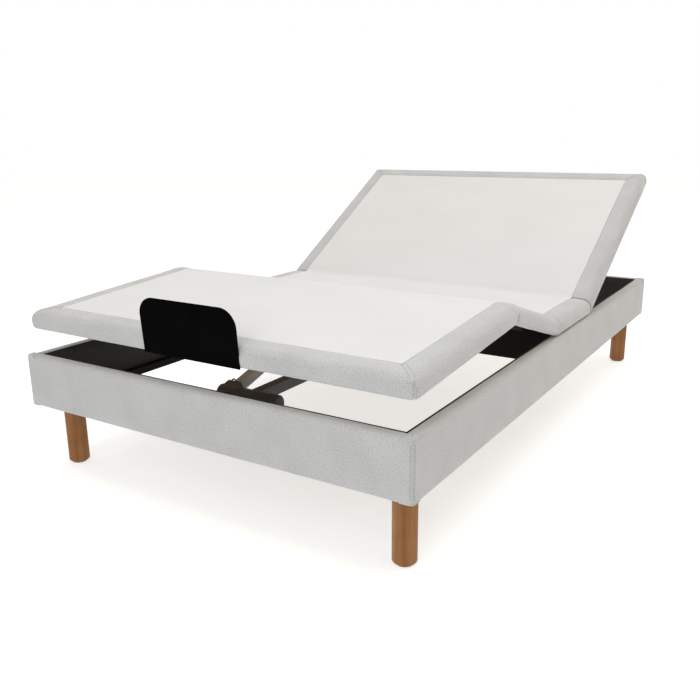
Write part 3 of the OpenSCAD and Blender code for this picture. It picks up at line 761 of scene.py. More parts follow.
def carved(bm: Mesh, cutter: Mesh) -> Mesh:
    """Take a cutter's shape out of a closed mesh.

    Args:
        bm: closed mesh in work, used up by this.
        cutter: closed mesh in work, used up by this.

    Returns:
        The mesh with the cut in it.
    """
    blocks = []
    for part in (bm, cutter):
        mesh = bpy.data.meshes.new("step")
        part.to_mesh(mesh)
        part.free()
        block = bpy.data.objects.new("step", mesh)
        bpy.context.scene.collection.objects.link(block)
        blocks.append(block)
    cut = blocks[0].modifiers.new("cut", "BOOLEAN")
    cut.operation, cut.solver, cut.object = "DIFFERENCE", "EXACT", blocks[1]
    shaped = blocks[0].evaluated_get(bpy.context.evaluated_depsgraph_get())
    result = bmesh.new()
    result.from_mesh(shaped.to_mesh())
    shaped.to_mesh_clear()
    for block in blocks:
        mesh = block.data
        bpy.data.objects.remove(block)
        bpy.data.meshes.remove(mesh)
    return result


def tube_mesh(radius: float, length: float, place: Matrix, segments: int, ends: bool = True) -> Mesh:
    """A round bar or tube along Z.

    Args:
        radius: its radius.
        length: its length.
        place: where its middle goes and how it is turned.
        segments: facets round it.
        ends: close its ends.

    Returns:
        The bar.
    """
    bm = bmesh.new()
    bmesh.ops.create_cone(bm, cap_ends=ends, segments=segments, radius1=radius, radius2=radius, depth=length,
                          matrix=place)
    return bm


def box_mesh(low: Sequence[float], high: Sequence[float]) -> Mesh:
    """A closed block between two corners.

    Args:
        low: lowest corner.
        high: highest corner.

    Returns:
        The block.
    """
    bm = bmesh.new()
    size = [b - a for a, b in zip(low, high)]
    middle = [(a + b) / 2 for a, b in zip(low, high)]
    bmesh.ops.create_cube(bm, size=1.0, matrix=Matrix.Translation(middle) @ Matrix.Diagonal((*size, 1.0)))
    return bm


def turn_about(y: float, z: float, angle: float) -> Matrix:
    """A turn about a line along X.

    Args:
        y: place of the line.
        z: height of the line.
        angle: radians, from +Y towards +Z.

    Returns:
        The turn.
    """
    to = Matrix.Translation((0, y, z))
    return to @ Matrix.Rotation(angle, 4, "X") @ to.inverted()


def grey_cover(piece: bpy.types.Object, *nodes: str) -> None:
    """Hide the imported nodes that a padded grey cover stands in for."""
    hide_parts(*nodes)


def stretched(piece: bpy.types.Object, thick: float) -> None:
    """Give a sheet its thickness, inwards from its outer face."""
    solid = piece.modifiers.new("thickness", "SOLIDIFY")
    solid.thickness, solid.offset = thick, -1.0


# ---------------------------------------------------------------- stitching


@dataclass
class Stitching:
    """Topstitch laid on covers, one small bead of thread for each stitch."""

    name: str
    pitch: float = 5.2 * MM
    length: float = 3.6 * MM
    girth: float = 0.55 * MM
    bm: Mesh = field(default_factory=bmesh.new)

    def run(self, cover: BVHTree, start: Sequence[float], end: Sequence[float],
            inward: Sequence[float]) -> None:
        """Lay one row of stitches where a cover faces.

        Args:
            cover: surface to sew on.
            start: first end of the row, outside the surface.
            end: other end of the row, outside the surface.
            inward: direction from the row towards the surface.
        """
        first, last, down = Vector(start), Vector(end), Vector(inward).normalized()
        span = last - first
        count = max(1, int(span.length / self.pitch))
        for i in range(count):
            spot = first + span * ((i + 0.5) / count)
            hit, normal, _, _ = cover.ray_cast(spot, down, 0.08)
            if hit is None:
                continue
            normal = normal if normal.dot(down) < 0 else -normal
            along = (span - normal * span.dot(normal)).normalized()
            side = normal.cross(along)
            place = Matrix((along, side, normal)).transposed().to_4x4()
            place.translation = hit + normal * self.girth * 0.35
            shape = Matrix.Diagonal((self.length / 2, self.girth, self.girth, 1.0))
            bmesh.ops.create_icosphere(self.bm, subdivisions=1, radius=1.0, matrix=place @ shape)

    def piece(self) -> bpy.types.Object:
        """The finished rows as one piece."""
        return finished(self.bm, self.name, Finish.THREAD, 180.0)


# ---------------------------------------------------------------- the box


@dataclass
class UpholsteredBox:
    """Four padded rails with mitred corners and a black lining inside."""

    low: Vector = field(default_factory=lambda: Vector(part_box("foot_rail_cover")[0]))
    outer_top: float = 13 * MM
    inner_top: float = 9 * MM
    bottom: float = 5 * MM
    pad: float = 9 * MM
    top_pad: float = 10 * MM
    turn_in: float = 3 * MM
    corner_round: float = 9 * MM
    seam_round: float = 1.4 * MM
    stitch_set: float = 7 * MM
    ring_pitch: float = 0.02
    levels: int = 10
    seam_rings_mm: tuple[float, ...] = (1.2, 2.4, 4.5, 7.5, 11.0)
    seam: tuple[float, float] = (2.6 * MM, 1.6 * MM)
    fullness: float = 1.2 * MM
    calm_end: float = 0.03
    wave: tuple[float, float] = (0.11, 0.55 * MM)
    lining_drop: float = 1.5 * MM
    lining_set: float = 3.4 * MM
    lining_thick: float = 1.4 * MM
    lining_cuts: tuple[int, int, int] = (24, 40, 5)

    def __post_init__(self) -> None:
        """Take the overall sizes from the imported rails."""
        self.half_w = -self.low.x
        self.half_l = -self.low.y
        self.z0 = self.low.z
        self.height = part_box("foot_rail_cover")[1][2] - self.z0
        self.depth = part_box("foot_rail_cover")[1][1] + self.half_l

    def profile(self) -> Profile:
        """Outline of a cover: outside at X = 0, height from Z = 0, open towards the lining."""
        d, h = self.depth, self.height
        return [(0, 0), (0, h), (-d, h), (-d, h - self.top_pad), (-self.pad, h - self.top_pad),
                (-self.pad, self.turn_in), (-d, self.turn_in), (-d, 0)]

    def bar(self, half: float, seed: float) -> Mesh:
        """One padded rail along Y with its outside at X = 0.

        Args:
            half: half its length.
            seed: number that sets its waves apart.

        Returns:
            The mitred, closed cover.
        """
        bm = extruded(self.profile(), -half, half)
        soften(bm, (0, self.height), self.outer_top, 8)
        soften(bm, (-self.depth, self.height), self.inner_top, 5)
        soften(bm, (0, 0), self.bottom, 4)
        steps = int(2 * half / self.ring_pitch)
        for i in range(1, steps):
            slice_at(bm, (0, -half + 2 * half * i / steps, 0), (0, 1, 0))
        for z in range(1, self.levels):
            slice_at(bm, (0, 0, self.height * z / self.levels), (0, 0, 1))
        bm.normal_update()
        for away in self.seam_rings_mm:
            for side in (1, -1):
                across = Vector((1, side, 0)).normalized()
                slice_at(bm, Vector((0, side * half, 0)) - across * away * MM, across)
        bm.normal_update()
        for vert in bm.verts:
            share = clamped(vert.co.z / self.height)
            end = min(1.0, (half - abs(vert.co.y)) / self.calm_end)
            if vert.co.x > -self.pad / 2 and 0.02 < share < 0.98:
                vert.co.x += self.fullness * math.sin(math.pi * share) * max(0.0, end)
        ripple(bm, *self.wave, seed)
        for side in (1, -1):
            across = Vector((1, side, 0)).normalized()
            pinch(bm, Vector((0, side * half, 0)), across, *self.seam, lambda co: co.x > -3 * MM)
            slice_at(bm, (0, side * half, 0), across, drop=True)
            round_corner(bm, (0, side * half), (-1, -side), self.corner_round)
        close_ends(bm)
        rims = [e for e in bm.edges if self._on_mitre(e, half) and self._outside(e)]
        eased(bm, rims, self.seam_round, 2, clamp=True)
        bmesh.ops.recalc_face_normals(bm, faces=bm.faces)
        return bm

    @staticmethod
    def _on_mitre(edge: Edge, half: float) -> bool:
        """Whether an edge lies in the plane of a mitre."""
        return all(abs(v.co.x + abs(v.co.y) - half) < 2e-5 for v in edge.verts)

    def _outside(self, edge: Edge) -> bool:
        """Whether an edge is on the outer face or the top."""
        return all(v.co.x > -self.corner_round / 2 or v.co.z > self.height - 6 * MM for v in edge.verts)

    def build(self) -> None:
        """Make the four covers, their stitching and the lining."""
        stitches = Stitching("rail_corner_stitching")
        sides = {
            "foot": (self.half_w, -math.pi / 2, Vector((0, -self.half_l, self.z0))),
            "head": (self.half_w, math.pi / 2, Vector((0, self.half_l, self.z0))),
            "left": (self.half_l, math.pi, Vector((-self.half_w, 0, self.z0))),
            "right": (self.half_l, 0.0, Vector((self.half_w, 0, self.z0))),
        }
        for seed, (side, (half, turn, at)) in enumerate(sides.items()):
            bm = self.bar(half, 3.7 * seed)
            place = Matrix.Translation(at) @ Matrix.Rotation(turn, 4, "Z")
            bm.transform(place)
            bmesh.ops.recalc_face_normals(bm, faces=bm.faces)
            cloth_map(bm)
            self.sew(stitches, bm, half, place)
            cover = finished(bm, f"{side}_rail_upholstery", Finish.GREY_WEAVE)
            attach(cover, "box")
            grey_cover(cover, f"{side}_rail_cover")
        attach(stitches.piece(), "box")
        self.line()

    def sew(self, stitches: Stitching, bm: Mesh, half: float, place: Matrix) -> None:
        """Sew beside the corner seams of one rail.

        Args:
            stitches: rows to add to.
            bm: the cover in its place.
            half: half its length.
            place: turn and move from the bar's own frame.
        """
        cover = BVHTree.FromBMesh(bm)
        inward = place.to_3x3() @ Vector((-1, 0, 0))
        gap, above = self.stitch_set * 0.8, self.height + CAST
        for side in (1, -1):
            at = side * (half - self.stitch_set)
            low, high = Vector((CAST, at, 12 * MM)), Vector((CAST, at, self.height - 13 * MM))
            stitches.run(cover, place @ low, place @ high, inward)
            outer = Vector((-9 * MM, side * (half - 9 * MM - gap), above))
            inner = Vector((6 * MM - self.depth, side * (half - self.depth + 6 * MM - gap), above))
            stitches.run(cover, place @ outer, place @ inner, Vector((0, 0, -1)))

    def line(self) -> None:
        """Stretch the black lining round the inside of the rails."""
        low, high = corners("inner_lining")
        high.z = self.z0 + self.height - self.lining_drop
        inset = Vector((self.lining_set, self.lining_set, 0))
        wall = box_mesh(low + inset, high - inset)
        bmesh.ops.delete(wall, geom=[f for f in wall.faces if abs(f.normal.z) > 0.5], context="FACES")
        for axis, count in enumerate(self.lining_cuts):
            for i in range(1, count):
                point = low + (high - low) * (i / count)
                slice_at(wall, point, [1.0 if k == axis else 0.0 for k in range(3)])
        bmesh.ops.reverse_faces(wall, faces=wall.faces)
        for vert in wall.verts:
            sag = noise.noise(vert.co * 9) * 0.8 * MM
            centre = Vector((vert.co.x, vert.co.y, 0)).normalized()
            vert.co -= centre * abs(sag)
        cloth_map(wall)
        lining = finished(wall, "rail_lining", Finish.LINING)
        stretched(lining, self.lining_thick)
        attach(lining, "box")
        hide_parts("inner_lining")


@dataclass
class TurnedLeg:
    """Straight round leg with a chamfered foot."""

    node: str
    chamfer: float = 5 * MM
    arris: float = 1.0 * MM

    def build(self) -> None:
        """Turn the leg, chamfer its foot and ease its arrises."""
        low, high = corners(self.node)
        bm = tube_mesh((high.x - low.x) / 2, high.z - low.z, Matrix.Translation((low + high) / 2), 96)

        def rim(z: float) -> list[Edge]:
            """Edges round the leg at a height."""
            return [e for e in bm.edges if all(abs(v.co.z - z) < 1e-5 for v in e.verts)]

        eased(bm, rim(low.z), self.chamfer, 1)
        for z in (low.z, low.z + self.chamfer):
            eased(bm, rim(z), self.arris, 2)
        leg = finished(bm, self.node.replace("_leg", "_turned_leg"), Finish.LEG_WOOD, 50.0)
        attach(leg, "box")
        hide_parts(self.node)


# ---------------------------------------------------------------- the deck


@dataclass(frozen=True)
class Fold:
    """One fold line of the deck, with the deck lowered."""

    y: float
    z: float
    turn: float
    side: int
    reach: float

    def share(self, y: float) -> float:
        """How far a point goes with the moving side.

        Args:
            y: place along the lowered deck.

        Returns:
            0 on the still side and 1 on the moving side.
        """
        t = clamped(0.5 + self.side * (y - self.y) / (2 * self.reach))
        return t * t * (3 - 2 * t)

    def matrix(self, share: float = 1.0) -> Matrix:
        """The turn at rest, or a share of it."""
        return turn_about(self.y, self.z, self.turn * share)

    def bend(self, bm: Mesh, after: Matrix) -> None:
        """Bend a lowered piece over the fold to its rest shape.

        Args:
            bm: mesh in work.
            after: rest place of the still side.
        """
        for vert in bm.verts:
            vert.co = after @ (self.matrix(self.share(vert.co.y)) @ vert.co)
        bm.normal_update()

    def ends(self, after: Matrix) -> tuple[Vector, Vector]:
        """Start and end of the bend at rest, from the still side to the moving side.

        Args:
            after: rest place of the still side.

        Returns:
            The two points.
        """
        start = after @ Vector((0, self.y - self.side * self.reach, self.z))
        end = after @ (self.matrix() @ Vector((0, self.y + self.side * self.reach, self.z)))
        return start, end


@dataclass
class FoldingDeck:
    """White cloth, foam and grey padded borders over the four deck sections."""

    crown: float = 27 * MM
    plan_round: float = 17 * MM
    lower_round: float = 12 * MM
    mitre_rings: tuple[float, ...] = (0.0015, 0.003, 0.005, 0.008, 0.012, 0.017)
    mitre_seam: tuple[float, float] = (2.4 * MM, 1.5 * MM)
    fullness: float = 1.3 * MM
    side_fullness: float = 1.0 * MM
    tuck: float = 0.5 * MM
    wave: tuple[float, float] = (0.075, 0.6 * MM)
    seam_gap: float = 5.5 * MM
    side_row: float = 34 * MM
    knee_slit: tuple[float, float] = (4.6 * MM, 26 * MM)
    back_slit: float = 7.0 * MM
    cloth_cuts: int = 27
    cloth_thick: float = 1.2 * MM
    cloth_wave: float = 0.5 * MM
    cloth_wrinkle: float = 0.8 * MM
    foam_gap: float = 1 * MM
    foam_set: float = 2.2 * MM
    foam_lean: tuple[float, float] = (9 * MM, 26 * MM)

    def __post_init__(self) -> None:
        """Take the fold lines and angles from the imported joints."""
        couples = {c["joint"]: c for c in frame["record"]["behaviour"]["couplings"]}
        back, thigh = joint("back_lift"), joint("thigh_lift")
        thigh_rest = -math.radians(thigh["range_deg"][0])
        self.back = Fold(back["pos_m"][1], back["pos_m"][2], -math.radians(back["range_deg"][0]), 1, 0.036)
        self.thigh = Fold(thigh["pos_m"][1], thigh["pos_m"][2], -thigh_rest, -1, 0.034)
        knee = self.thigh.matrix().inverted() @ Vector(joint("knee_fold")["pos_m"])
        self.knee = Fold(knee.y, knee.z, thigh_rest * couples["knee_fold"]["ratio"], -1, 0.032)
        self.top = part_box("seat_sheet")[1][2]
        self.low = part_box("seat_borders")[0][2] + 1 * MM
        self.half_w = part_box("seat_borders")[1][0]
        self.field_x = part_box("seat_sheet")[1][0]
        self.board_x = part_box("seat_board")[1][0]
        self.board_z = self.top - 15 * MM
        self.border = self.half_w - self.field_x
        self.end_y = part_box("foot_rail_cover")[0][1] + 7.5 * MM
        self.mid_thigh = (self.knee.y + self.thigh.y) / 2
        self.mid_seat = (self.thigh.y + self.back.y) / 2
        self.box = Matrix.Identity(4)

    # -- the grey borders

    def bar(self, start: float, end: float, marks: Sequence[float]) -> Mesh:
        """Padded border along the right side, lowered.

        Args:
            start: lowest Y.
            end: highest Y.
            marks: places that need closer rings.

        Returns:
            The bar, open at both ends.
        """
        x0, x1, x2 = self.field_x, self.board_x, self.half_w
        outline = [(x0, self.board_z), (x0, self.top), (x2, self.top), (x2, self.low), (x1, self.low),
                   (x1, self.board_z)]
        bm = extruded(outline, start, end)
        soften(bm, (x2, self.top), self.crown, 12)
        soften(bm, (x2, self.low), self.lower_round, 6)
        soften(bm, (x0, self.top), 1.6 * MM, 2)
        soften(bm, (x1, self.low), 4 * MM, 2)
        for x in (0.2, 0.4, 0.6):
            slice_at(bm, (x0 + (x2 - x0) * x, 0, 0), (1, 0, 0))
        for z in (0.25, 0.4, 0.55):
            slice_at(bm, (0, 0, self.low + (self.top - self.low) * z), (0, 0, 1))
        cut_rings(bm, (start, end), 0.018, marks, 15)
        return bm

    def horseshoe(self, end_y: float, to_y: float, marks: Sequence[float]) -> Mesh:
        """Border round one end of the deck, with mitred corners, lowered.

        Args:
            end_y: the end's outer face.
            to_y: where the two sides stop.
            marks: places along the sides that need closer rings.

        Returns:
            The joined border, open where its sides stop.
        """
        side = 1 if to_y > end_y else -1
        corner = Vector((self.half_w, end_y, 0))
        across = Vector((1, side, 0)).normalized()
        right = self.bar(min(end_y, to_y), max(end_y, to_y), marks)
        foot = self.bar(-self.half_w, self.half_w, ())
        foot.transform(Matrix.Translation((0, end_y + side * self.half_w, 0))
                       @ Matrix.Rotation(-side * math.pi / 2, 4, "Z"))
        far_corner, far_across = Vector((-corner.x, corner.y, 0)), Vector((-across.x, across.y, 0))
        for gap in self.mitre_rings:
            slice_at(right, corner + across * gap, across)
            slice_at(foot, corner - across * gap, across)
            slice_at(foot, far_corner - far_across * gap, far_across)
        slice_at(right, corner, -across, drop=True)
        slice_at(foot, corner, across, drop=True)
        slice_at(foot, far_corner, far_across, drop=True)
        left = copied(right, Matrix.Diagonal((-1, 1, 1, 1)))
        whole = join([right, foot, left])
        for flip in (1, -1):
            round_corner(whole, (flip * self.half_w, end_y), (-flip, side), self.plan_round)
        return whole

    def plump(self, bm: Mesh, y0: float, y1: float, seed: float) -> None:
        """Crown the top between the seam and the edge, and round the sides a little.

        Args:
            bm: lowered border.
            y0: lower end of the white field.
            y1: upper end of the white field.
            seed: number that sets its waves apart.
        """
        bm.normal_update()
        for vert in bm.verts:
            out = max(abs(vert.co.x) - self.field_x, y0 - vert.co.y, vert.co.y - y1)
            t = clamped(out / (self.border - self.crown))
            if vert.co.z > self.top - 2 * MM and out > -1 * MM:
                vert.co.z += self.fullness * math.sin(math.pi * t) - self.tuck * bell(out, 2.5 * MM)
            elif out > self.border - 6 * MM:
                level = clamped((vert.co.z - self.low) / (self.top - self.low))
                flat = Vector((vert.normal.x, vert.normal.y, 0))
                vert.co += flat * self.side_fullness * math.sin(math.pi * level)
        ripple(bm, *self.wave, seed)

    def mitres(self, bm: Mesh, end_y: float, side: int) -> None:
        """Draw the corner seams in."""
        for flip in (1, -1):
            pinch(bm, Vector((flip * self.half_w, end_y, 0)), Vector((flip, side, 0)).normalized(),
                  *self.mitre_seam, lambda co: abs(co.x) > self.field_x - 1 * MM)

    def slit(self, bm: Mesh, y: float, top: float, wide: float, deep: float) -> Mesh:
        """Cut the outside of both sides of a border, from below.

        Args:
            bm: closed lowered border, used up by this.
            y: place of the cut.
            top: height where the cut ends.
            wide: width of the cut.
            deep: how far it reaches in from the side.

        Returns:
            The cut border.
        """
        for flip in (1, -1):
            a, b = sorted((flip * (self.half_w - deep), flip * (self.half_w + PAST)))
            bm = carved(bm, box_mesh((a, y - wide / 2, self.low - PAST), (b, y + wide / 2, top)))
        return bm

    def stitch_mitres(self, rows: Stitching, bm: Mesh, end_y: float, side: int) -> None:
        """Sew two rows beside each corner seam.

        Args:
            rows: stitching to add to.
            bm: lowered border.
            end_y: the end's outer face.
            side: 1 where the deck lies above end_y in Y, otherwise -1.
        """
        cover = BVHTree.FromBMesh(bm)
        gap, high, down = self.seam_gap, self.top + CAST, Vector((0, 0, self.side_row))
        for flip in (1, -1):
            for dx, dy in ((0, 1), (1, 0)):
                shift = Vector((-flip * dx * gap * 1.4, side * dy * gap * 1.4, 0))
                inner = Vector((flip * (self.field_x + 3 * MM), end_y + side * (self.border - 3 * MM), high))
                outer = Vector((flip * (self.half_w - 10 * MM), end_y + side * 10 * MM, high))
                rows.run(cover, inner + shift, outer + shift, (0, 0, -1))
                x, y, inward = self.half_w - gap * 1.3, end_y - side * CAST, (0, side, 0)
                if dy:
                    x, y, inward = self.half_w + CAST, end_y + side * gap * 1.3, (-flip, 0, 0)
                start = Vector((flip * x, y, self.top - 9 * MM))
                rows.run(cover, start, start - down, inward)

    def blended(self, bm: Mesh, name: str, finish: Finish, fold: Fold, after: Matrix) -> bpy.types.Object:
        """Bend a lowered piece to its rest shape.

        Args:
            bm: lowered piece, used up by this.
            name: name of the piece.
            finish: what it is made of.
            fold: fold it crosses.
            after: rest place of the still side.

        Returns:
            The piece.
        """
        fold.bend(bm, after)
        piece = finished(bm, name, finish)
        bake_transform(piece)
        return piece

    def leg_border(self) -> None:
        """Border of the leg section and of the lower half of the thigh section."""
        bm = self.horseshoe(self.end_y, self.mid_thigh, (self.knee.y,))
        self.plump(bm, self.end_y + self.border, 9.0, 1.3)
        self.mitres(bm, self.end_y, 1)
        mid_side = self.low + 27 * MM
        pinch(bm, Vector((0, self.knee.y, 0)), Vector((0, 1, 0)), 4.5 * MM, 1.8 * MM,
              lambda co: co.z < mid_side + 3 * MM)
        close_ends(bm)
        rows = Stitching("leg_border_stitching")
        self.stitch_mitres(rows, bm, self.end_y, 1)
        bm = self.slit(bm, self.knee.y, mid_side, *self.knee_slit)
        cloth_map(bm)
        piece = self.blended(bm, "leg_padded_border", Finish.GREY_WEAVE, self.knee, self.thigh.matrix())
        grey_cover(piece, "leg_border", "thigh_borders")
        rows.bm.transform(self.thigh.matrix() @ self.knee.matrix())
        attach(rows.piece(), "leg_section")

    def seat_border(self) -> None:
        """Borders of the upper half of the thigh section and the lower half of the seat."""
        bm = self.bar(self.mid_thigh, self.mid_seat, (self.thigh.y,))
        self.plump(bm, -9.0, 9.0, 1.3)
        for step, depth in ((-9, 2.8), (8, 3.2)):
            point, across = Vector((0, self.thigh.y + step * MM, self.top)), Vector((0, 1, step * 0.012))
            pinch(bm, point, across.normalized(), 2.6 * MM, depth * MM,
                  lambda co: co.x > self.board_x - 25 * MM)
        close_ends(bm)
        bm = join([bm.copy(), copied(bm, Matrix.Diagonal((-1, 1, 1, 1)))])
        cloth_map(bm)
        piece = self.blended(bm, "seat_padded_borders", Finish.GREY_WEAVE, self.thigh, self.box)
        grey_cover(piece, "seat_borders")

    def back_border(self) -> None:
        """Border of the back section and of the upper half of the seat."""
        bm = self.horseshoe(-self.end_y, self.mid_seat, (self.back.y,))
        self.plump(bm, -9.0, -self.end_y - self.border, 1.3)
        self.mitres(bm, -self.end_y, -1)
        pinch(bm, Vector((0, self.back.y, 0)), Vector((0, 1, 0)), 4 * MM, 2.2 * MM)
        close_ends(bm)
        rows = Stitching("back_border_stitching")
        self.stitch_mitres(rows, bm, -self.end_y, -1)
        bm = self.slit(bm, self.back.y, self.top + PAST, self.back_slit, self.border + PAST)
        cloth_map(bm)
        piece = self.blended(bm, "back_padded_border", Finish.GREY_WEAVE, self.back, self.box)
        grey_cover(piece, "back_border")
        rows.bm.transform(self.back.matrix())
        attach(rows.piece(), "back_section")

    # -- the white field

    def cloth(self, start: float, end: float, fold: Fold, free: int) -> Mesh:
        """White cloth over the foam, lowered.

        Args:
            start: lowest Y.
            end: highest Y.
            fold: fold it crosses.
            free: -1 if the lower end is a seam, 1 if the upper end is, 0 if neither.

        Returns:
            The cloth's upper surface.
        """
        bm = bmesh.new()
        middle = Vector((0, (start + end) / 2, self.top))
        place = Matrix.Translation(middle) @ Matrix.Diagonal((self.field_x, (end - start) / 2, 1, 1))
        bmesh.ops.create_grid(bm, x_segments=1, y_segments=1, size=1.0, matrix=place)
        hem = (1.5, 4)
        extra = {start + d * MM for d in hem} | {end - d * MM for d in hem}
        cut_rings(bm, (start, end), 0.02, (fold.y,), 16, extra)
        for i in range(1, 2 * self.cloth_cuts):
            slice_at(bm, (self.field_x * (i / self.cloth_cuts - 1), 0, 0), (1, 0, 0))
        for flip in (1, -1):
            for d in hem:
                slice_at(bm, (flip * (self.field_x - d * MM), 0, 0), (1, 0, 0))
        for vert in bm.verts:
            edge = self.field_x - abs(vert.co.x)
            if free < 0:
                edge = min(edge, vert.co.y - start)
            if free > 0:
                edge = min(edge, end - vert.co.y)
            vert.co.z -= self.tuck * bell(edge, 2.2 * MM)
            wave = noise.noise(Vector((vert.co.x * 5, vert.co.y * 7, 2.0)))
            wrinkle = noise.noise(Vector((vert.co.x * 4 + vert.co.y * 14, vert.co.y * 30, 7.0)))
            near = bell(vert.co.y - fold.y, 0.06)
            calm = min(1.0, edge / 0.03)
            vert.co.z += (self.cloth_wave * wave + self.cloth_wrinkle * near * wrinkle) * calm
        return bm

    def white_field(self) -> None:
        """Three lengths of the white cloth that meet in the middle of the thigh and of the seat."""
        thigh = self.thigh.matrix()
        foot, head = self.end_y + self.border, -self.end_y - self.border
        spans = (
            ("leg_white_cloth", foot, self.mid_thigh, self.knee, -1, thigh,
             ("thigh_section", "leg_section"), ("leg_sheet", "thigh_sheet")),
            ("seat_white_cloth", self.mid_thigh, self.mid_seat, self.thigh, 0, self.box,
             ("box", "thigh_section"), ("seat_sheet",)),
            ("back_white_cloth", self.mid_seat, head, self.back, 1, self.box,
             ("box", "back_section"), ("back_sheet",)),
        )
        for name, start, end, fold, free, after, bodies, nodes in spans:
            bm = self.cloth(start, end, fold, free)
            cloth_map(bm)
            piece = self.blended(bm, name, Finish.WHITE_CLOTH, fold, after)
            stretched(piece, self.cloth_thick)
            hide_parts(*nodes)

    def foam_pads(self) -> None:
        """Foam under the white cloth, one pad on each section."""
        thigh = self.thigh.matrix()
        top, low, gap = self.top - self.foam_set, self.board_z, self.foam_gap
        foot, head = self.end_y + self.border, -self.end_y - self.border
        lean, deep = self.foam_lean
        pads = (
            ("leg", foot, self.knee.y - gap, (0, 0), thigh @ self.knee.matrix(), "leg_section"),
            ("thigh", self.knee.y + gap, self.thigh.y - gap, (0, lean), thigh, "thigh_section"),
            ("seat", self.thigh.y + gap, self.back.y - gap, (lean, deep), self.box, "box"),
            ("back", self.back.y + gap, head, (deep, 0), self.back.matrix(), "back_section"),
        )
        for name, start, end, leans, place, body in pads:
            bm = box_mesh((-self.field_x, start, low), (self.field_x, end, top))
            for vert in bm.verts:
                if vert.co.z > (top + low) / 2:
                    vert.co.y += leans[0] if vert.co.y < (start + end) / 2 else -leans[1]
            eased(bm, [e for e in bm.edges if all(v.co.z > low for v in e.verts)], 3 * MM, 3)
            bm.transform(place)
            pad = finished(bm, f"{name}_foam_pad", Finish.FOAM)
            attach(pad, body)
            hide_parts(f"{name}_foam")

    def build(self) -> None:
        """Make the whole of the deck's upholstery."""
        self.foam_pads()
        self.white_field()
        self.leg_border()
        self.seat_border()
        self.back_border()


# ---------------------------------------------------------------- the drives and the frame


@dataclass
class ActuatorTrim:
    """Sleeve, motor end cap, clamp rings and cable loop on one actuator."""

    name: str
    tube_r: float = 17 * MM
    motor_r: float = 24 * MM
    motor_set: float = 46 * MM
    sleeve: tuple[float, float] = (84 * MM, 210 * MM)
    sleeve_thick: float = 1.0 * MM
    cable_r: float = 2.0 * MM
    loop_r: float = 7 * MM
    loop_at: tuple[float, float, float] = (-14 * MM, 86 * MM, 11 * MM)

    def place(self) -> Matrix:
        """Frame on the pivot with X sideways and Y along the tube."""
        sideways, along = Vector((1, 0, 0)), Vector(joint(f"{self.name}_stroke")["axis"])
        at = Matrix((sideways, along, sideways.cross(along))).transposed().to_4x4()
        rod = corners(f"{self.name}_rod")
        pivot = Vector(joint(f"{self.name}_swing")["pos_m"])
        at.translation = Vector(((rod[0].x + rod[1].x) / 2, pivot.y, pivot.z))
        return at

    def ring(self, at: float, radius: float, width: float, edge: float) -> Mesh:
        """A band round the motor.

        Args:
            at: place across the bed, from the tube.
            radius: its radius.
            width: its width.
            edge: how much its rims are rounded.

        Returns:
            The band.
        """
        turn = Matrix.Translation((at, self.motor_set, 0)) @ Matrix.Rotation(math.pi / 2, 4, "Y")
        bm = tube_mesh(radius, width, turn, 48)
        eased(bm, [e for e in bm.edges if abs(e.verts[0].co.x - e.verts[1].co.x) < 1e-6], edge, 4)
        return bm

    def build(self) -> None:
        """Make the pieces and let them ride the actuator."""
        at = self.place()
        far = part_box(f"{self.name}_housing")[1][0] - at.translation.x
        bands = [(far - 4 * MM, 0.5 * MM, 14 * MM, 5.5 * MM), (far - 20 * MM, 0.9 * MM, 3 * MM, 0.7 * MM)]
        bands += [(x * MM, 0.7 * MM, 2.4 * MM, 0.6 * MM) for x in (34, 42)]
        cap = join([self.ring(x, self.motor_r + proud, width, edge) for x, proud, width, edge in bands])
        self.fit(cap, at, "motor_trim", Finish.PLASTIC)
        self.fit(self.shell(), at, "tube_sleeve", Finish.TUBE_GREY)
        self.fit(self.wire(), at, "cable_loop", Finish.PLASTIC)

    def shell(self) -> Mesh:
        """The grey sleeve over one side of the tube."""
        first, last = self.sleeve
        turn = Matrix.Translation((0, (first + last) / 2, 0)) @ Matrix.Rotation(math.pi / 2, 4, "X")
        bm = tube_mesh(self.tube_r + 0.4 * MM, last - first, turn, 64, ends=False)
        behind = [f for f in bm.faces if f.calc_center_median().x < -1 * MM]
        bmesh.ops.delete(bm, geom=behind, context="FACES")
        bmesh.ops.recalc_face_normals(bm, faces=bm.faces)
        if sum(f.normal.dot(f.calc_center_median() * Vector((1, 0, 1))) for f in bm.faces) < 0:
            bmesh.ops.reverse_faces(bm, faces=bm.faces)
        bmesh.ops.solidify(bm, geom=everything(bm), thickness=-self.sleeve_thick)
        return bm

    def wire(self) -> Mesh:
        """The half loop of cable between motor and tube."""
        bm = bmesh.new()
        turn = Matrix.Translation((0, self.loop_r, 0)) @ Matrix.Rotation(math.pi, 4, "Z")
        bmesh.ops.create_circle(bm, cap_ends=True, segments=12, radius=self.cable_r, matrix=turn)
        bmesh.ops.spin(bm, geom=everything(bm), cent=(0, 0, 0), axis=(1, 0, 0), angle=math.pi, steps=16)
        bmesh.ops.recalc_face_normals(bm, faces=bm.faces)
        bm.transform(Matrix.Translation(self.loop_at))
        return bm

    def fit(self, bm: Mesh, at: Matrix, part: str, finish: Finish) -> None:
        """Place one piece on the actuator.

        Args:
            bm: piece in the actuator's own frame, used up by this.
            at: the actuator's frame.
            part: name of the piece.
            finish: what it is made of.
        """
        bm.transform(at)
        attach(finished(bm, f"{self.name}_{part}", finish), self.name)


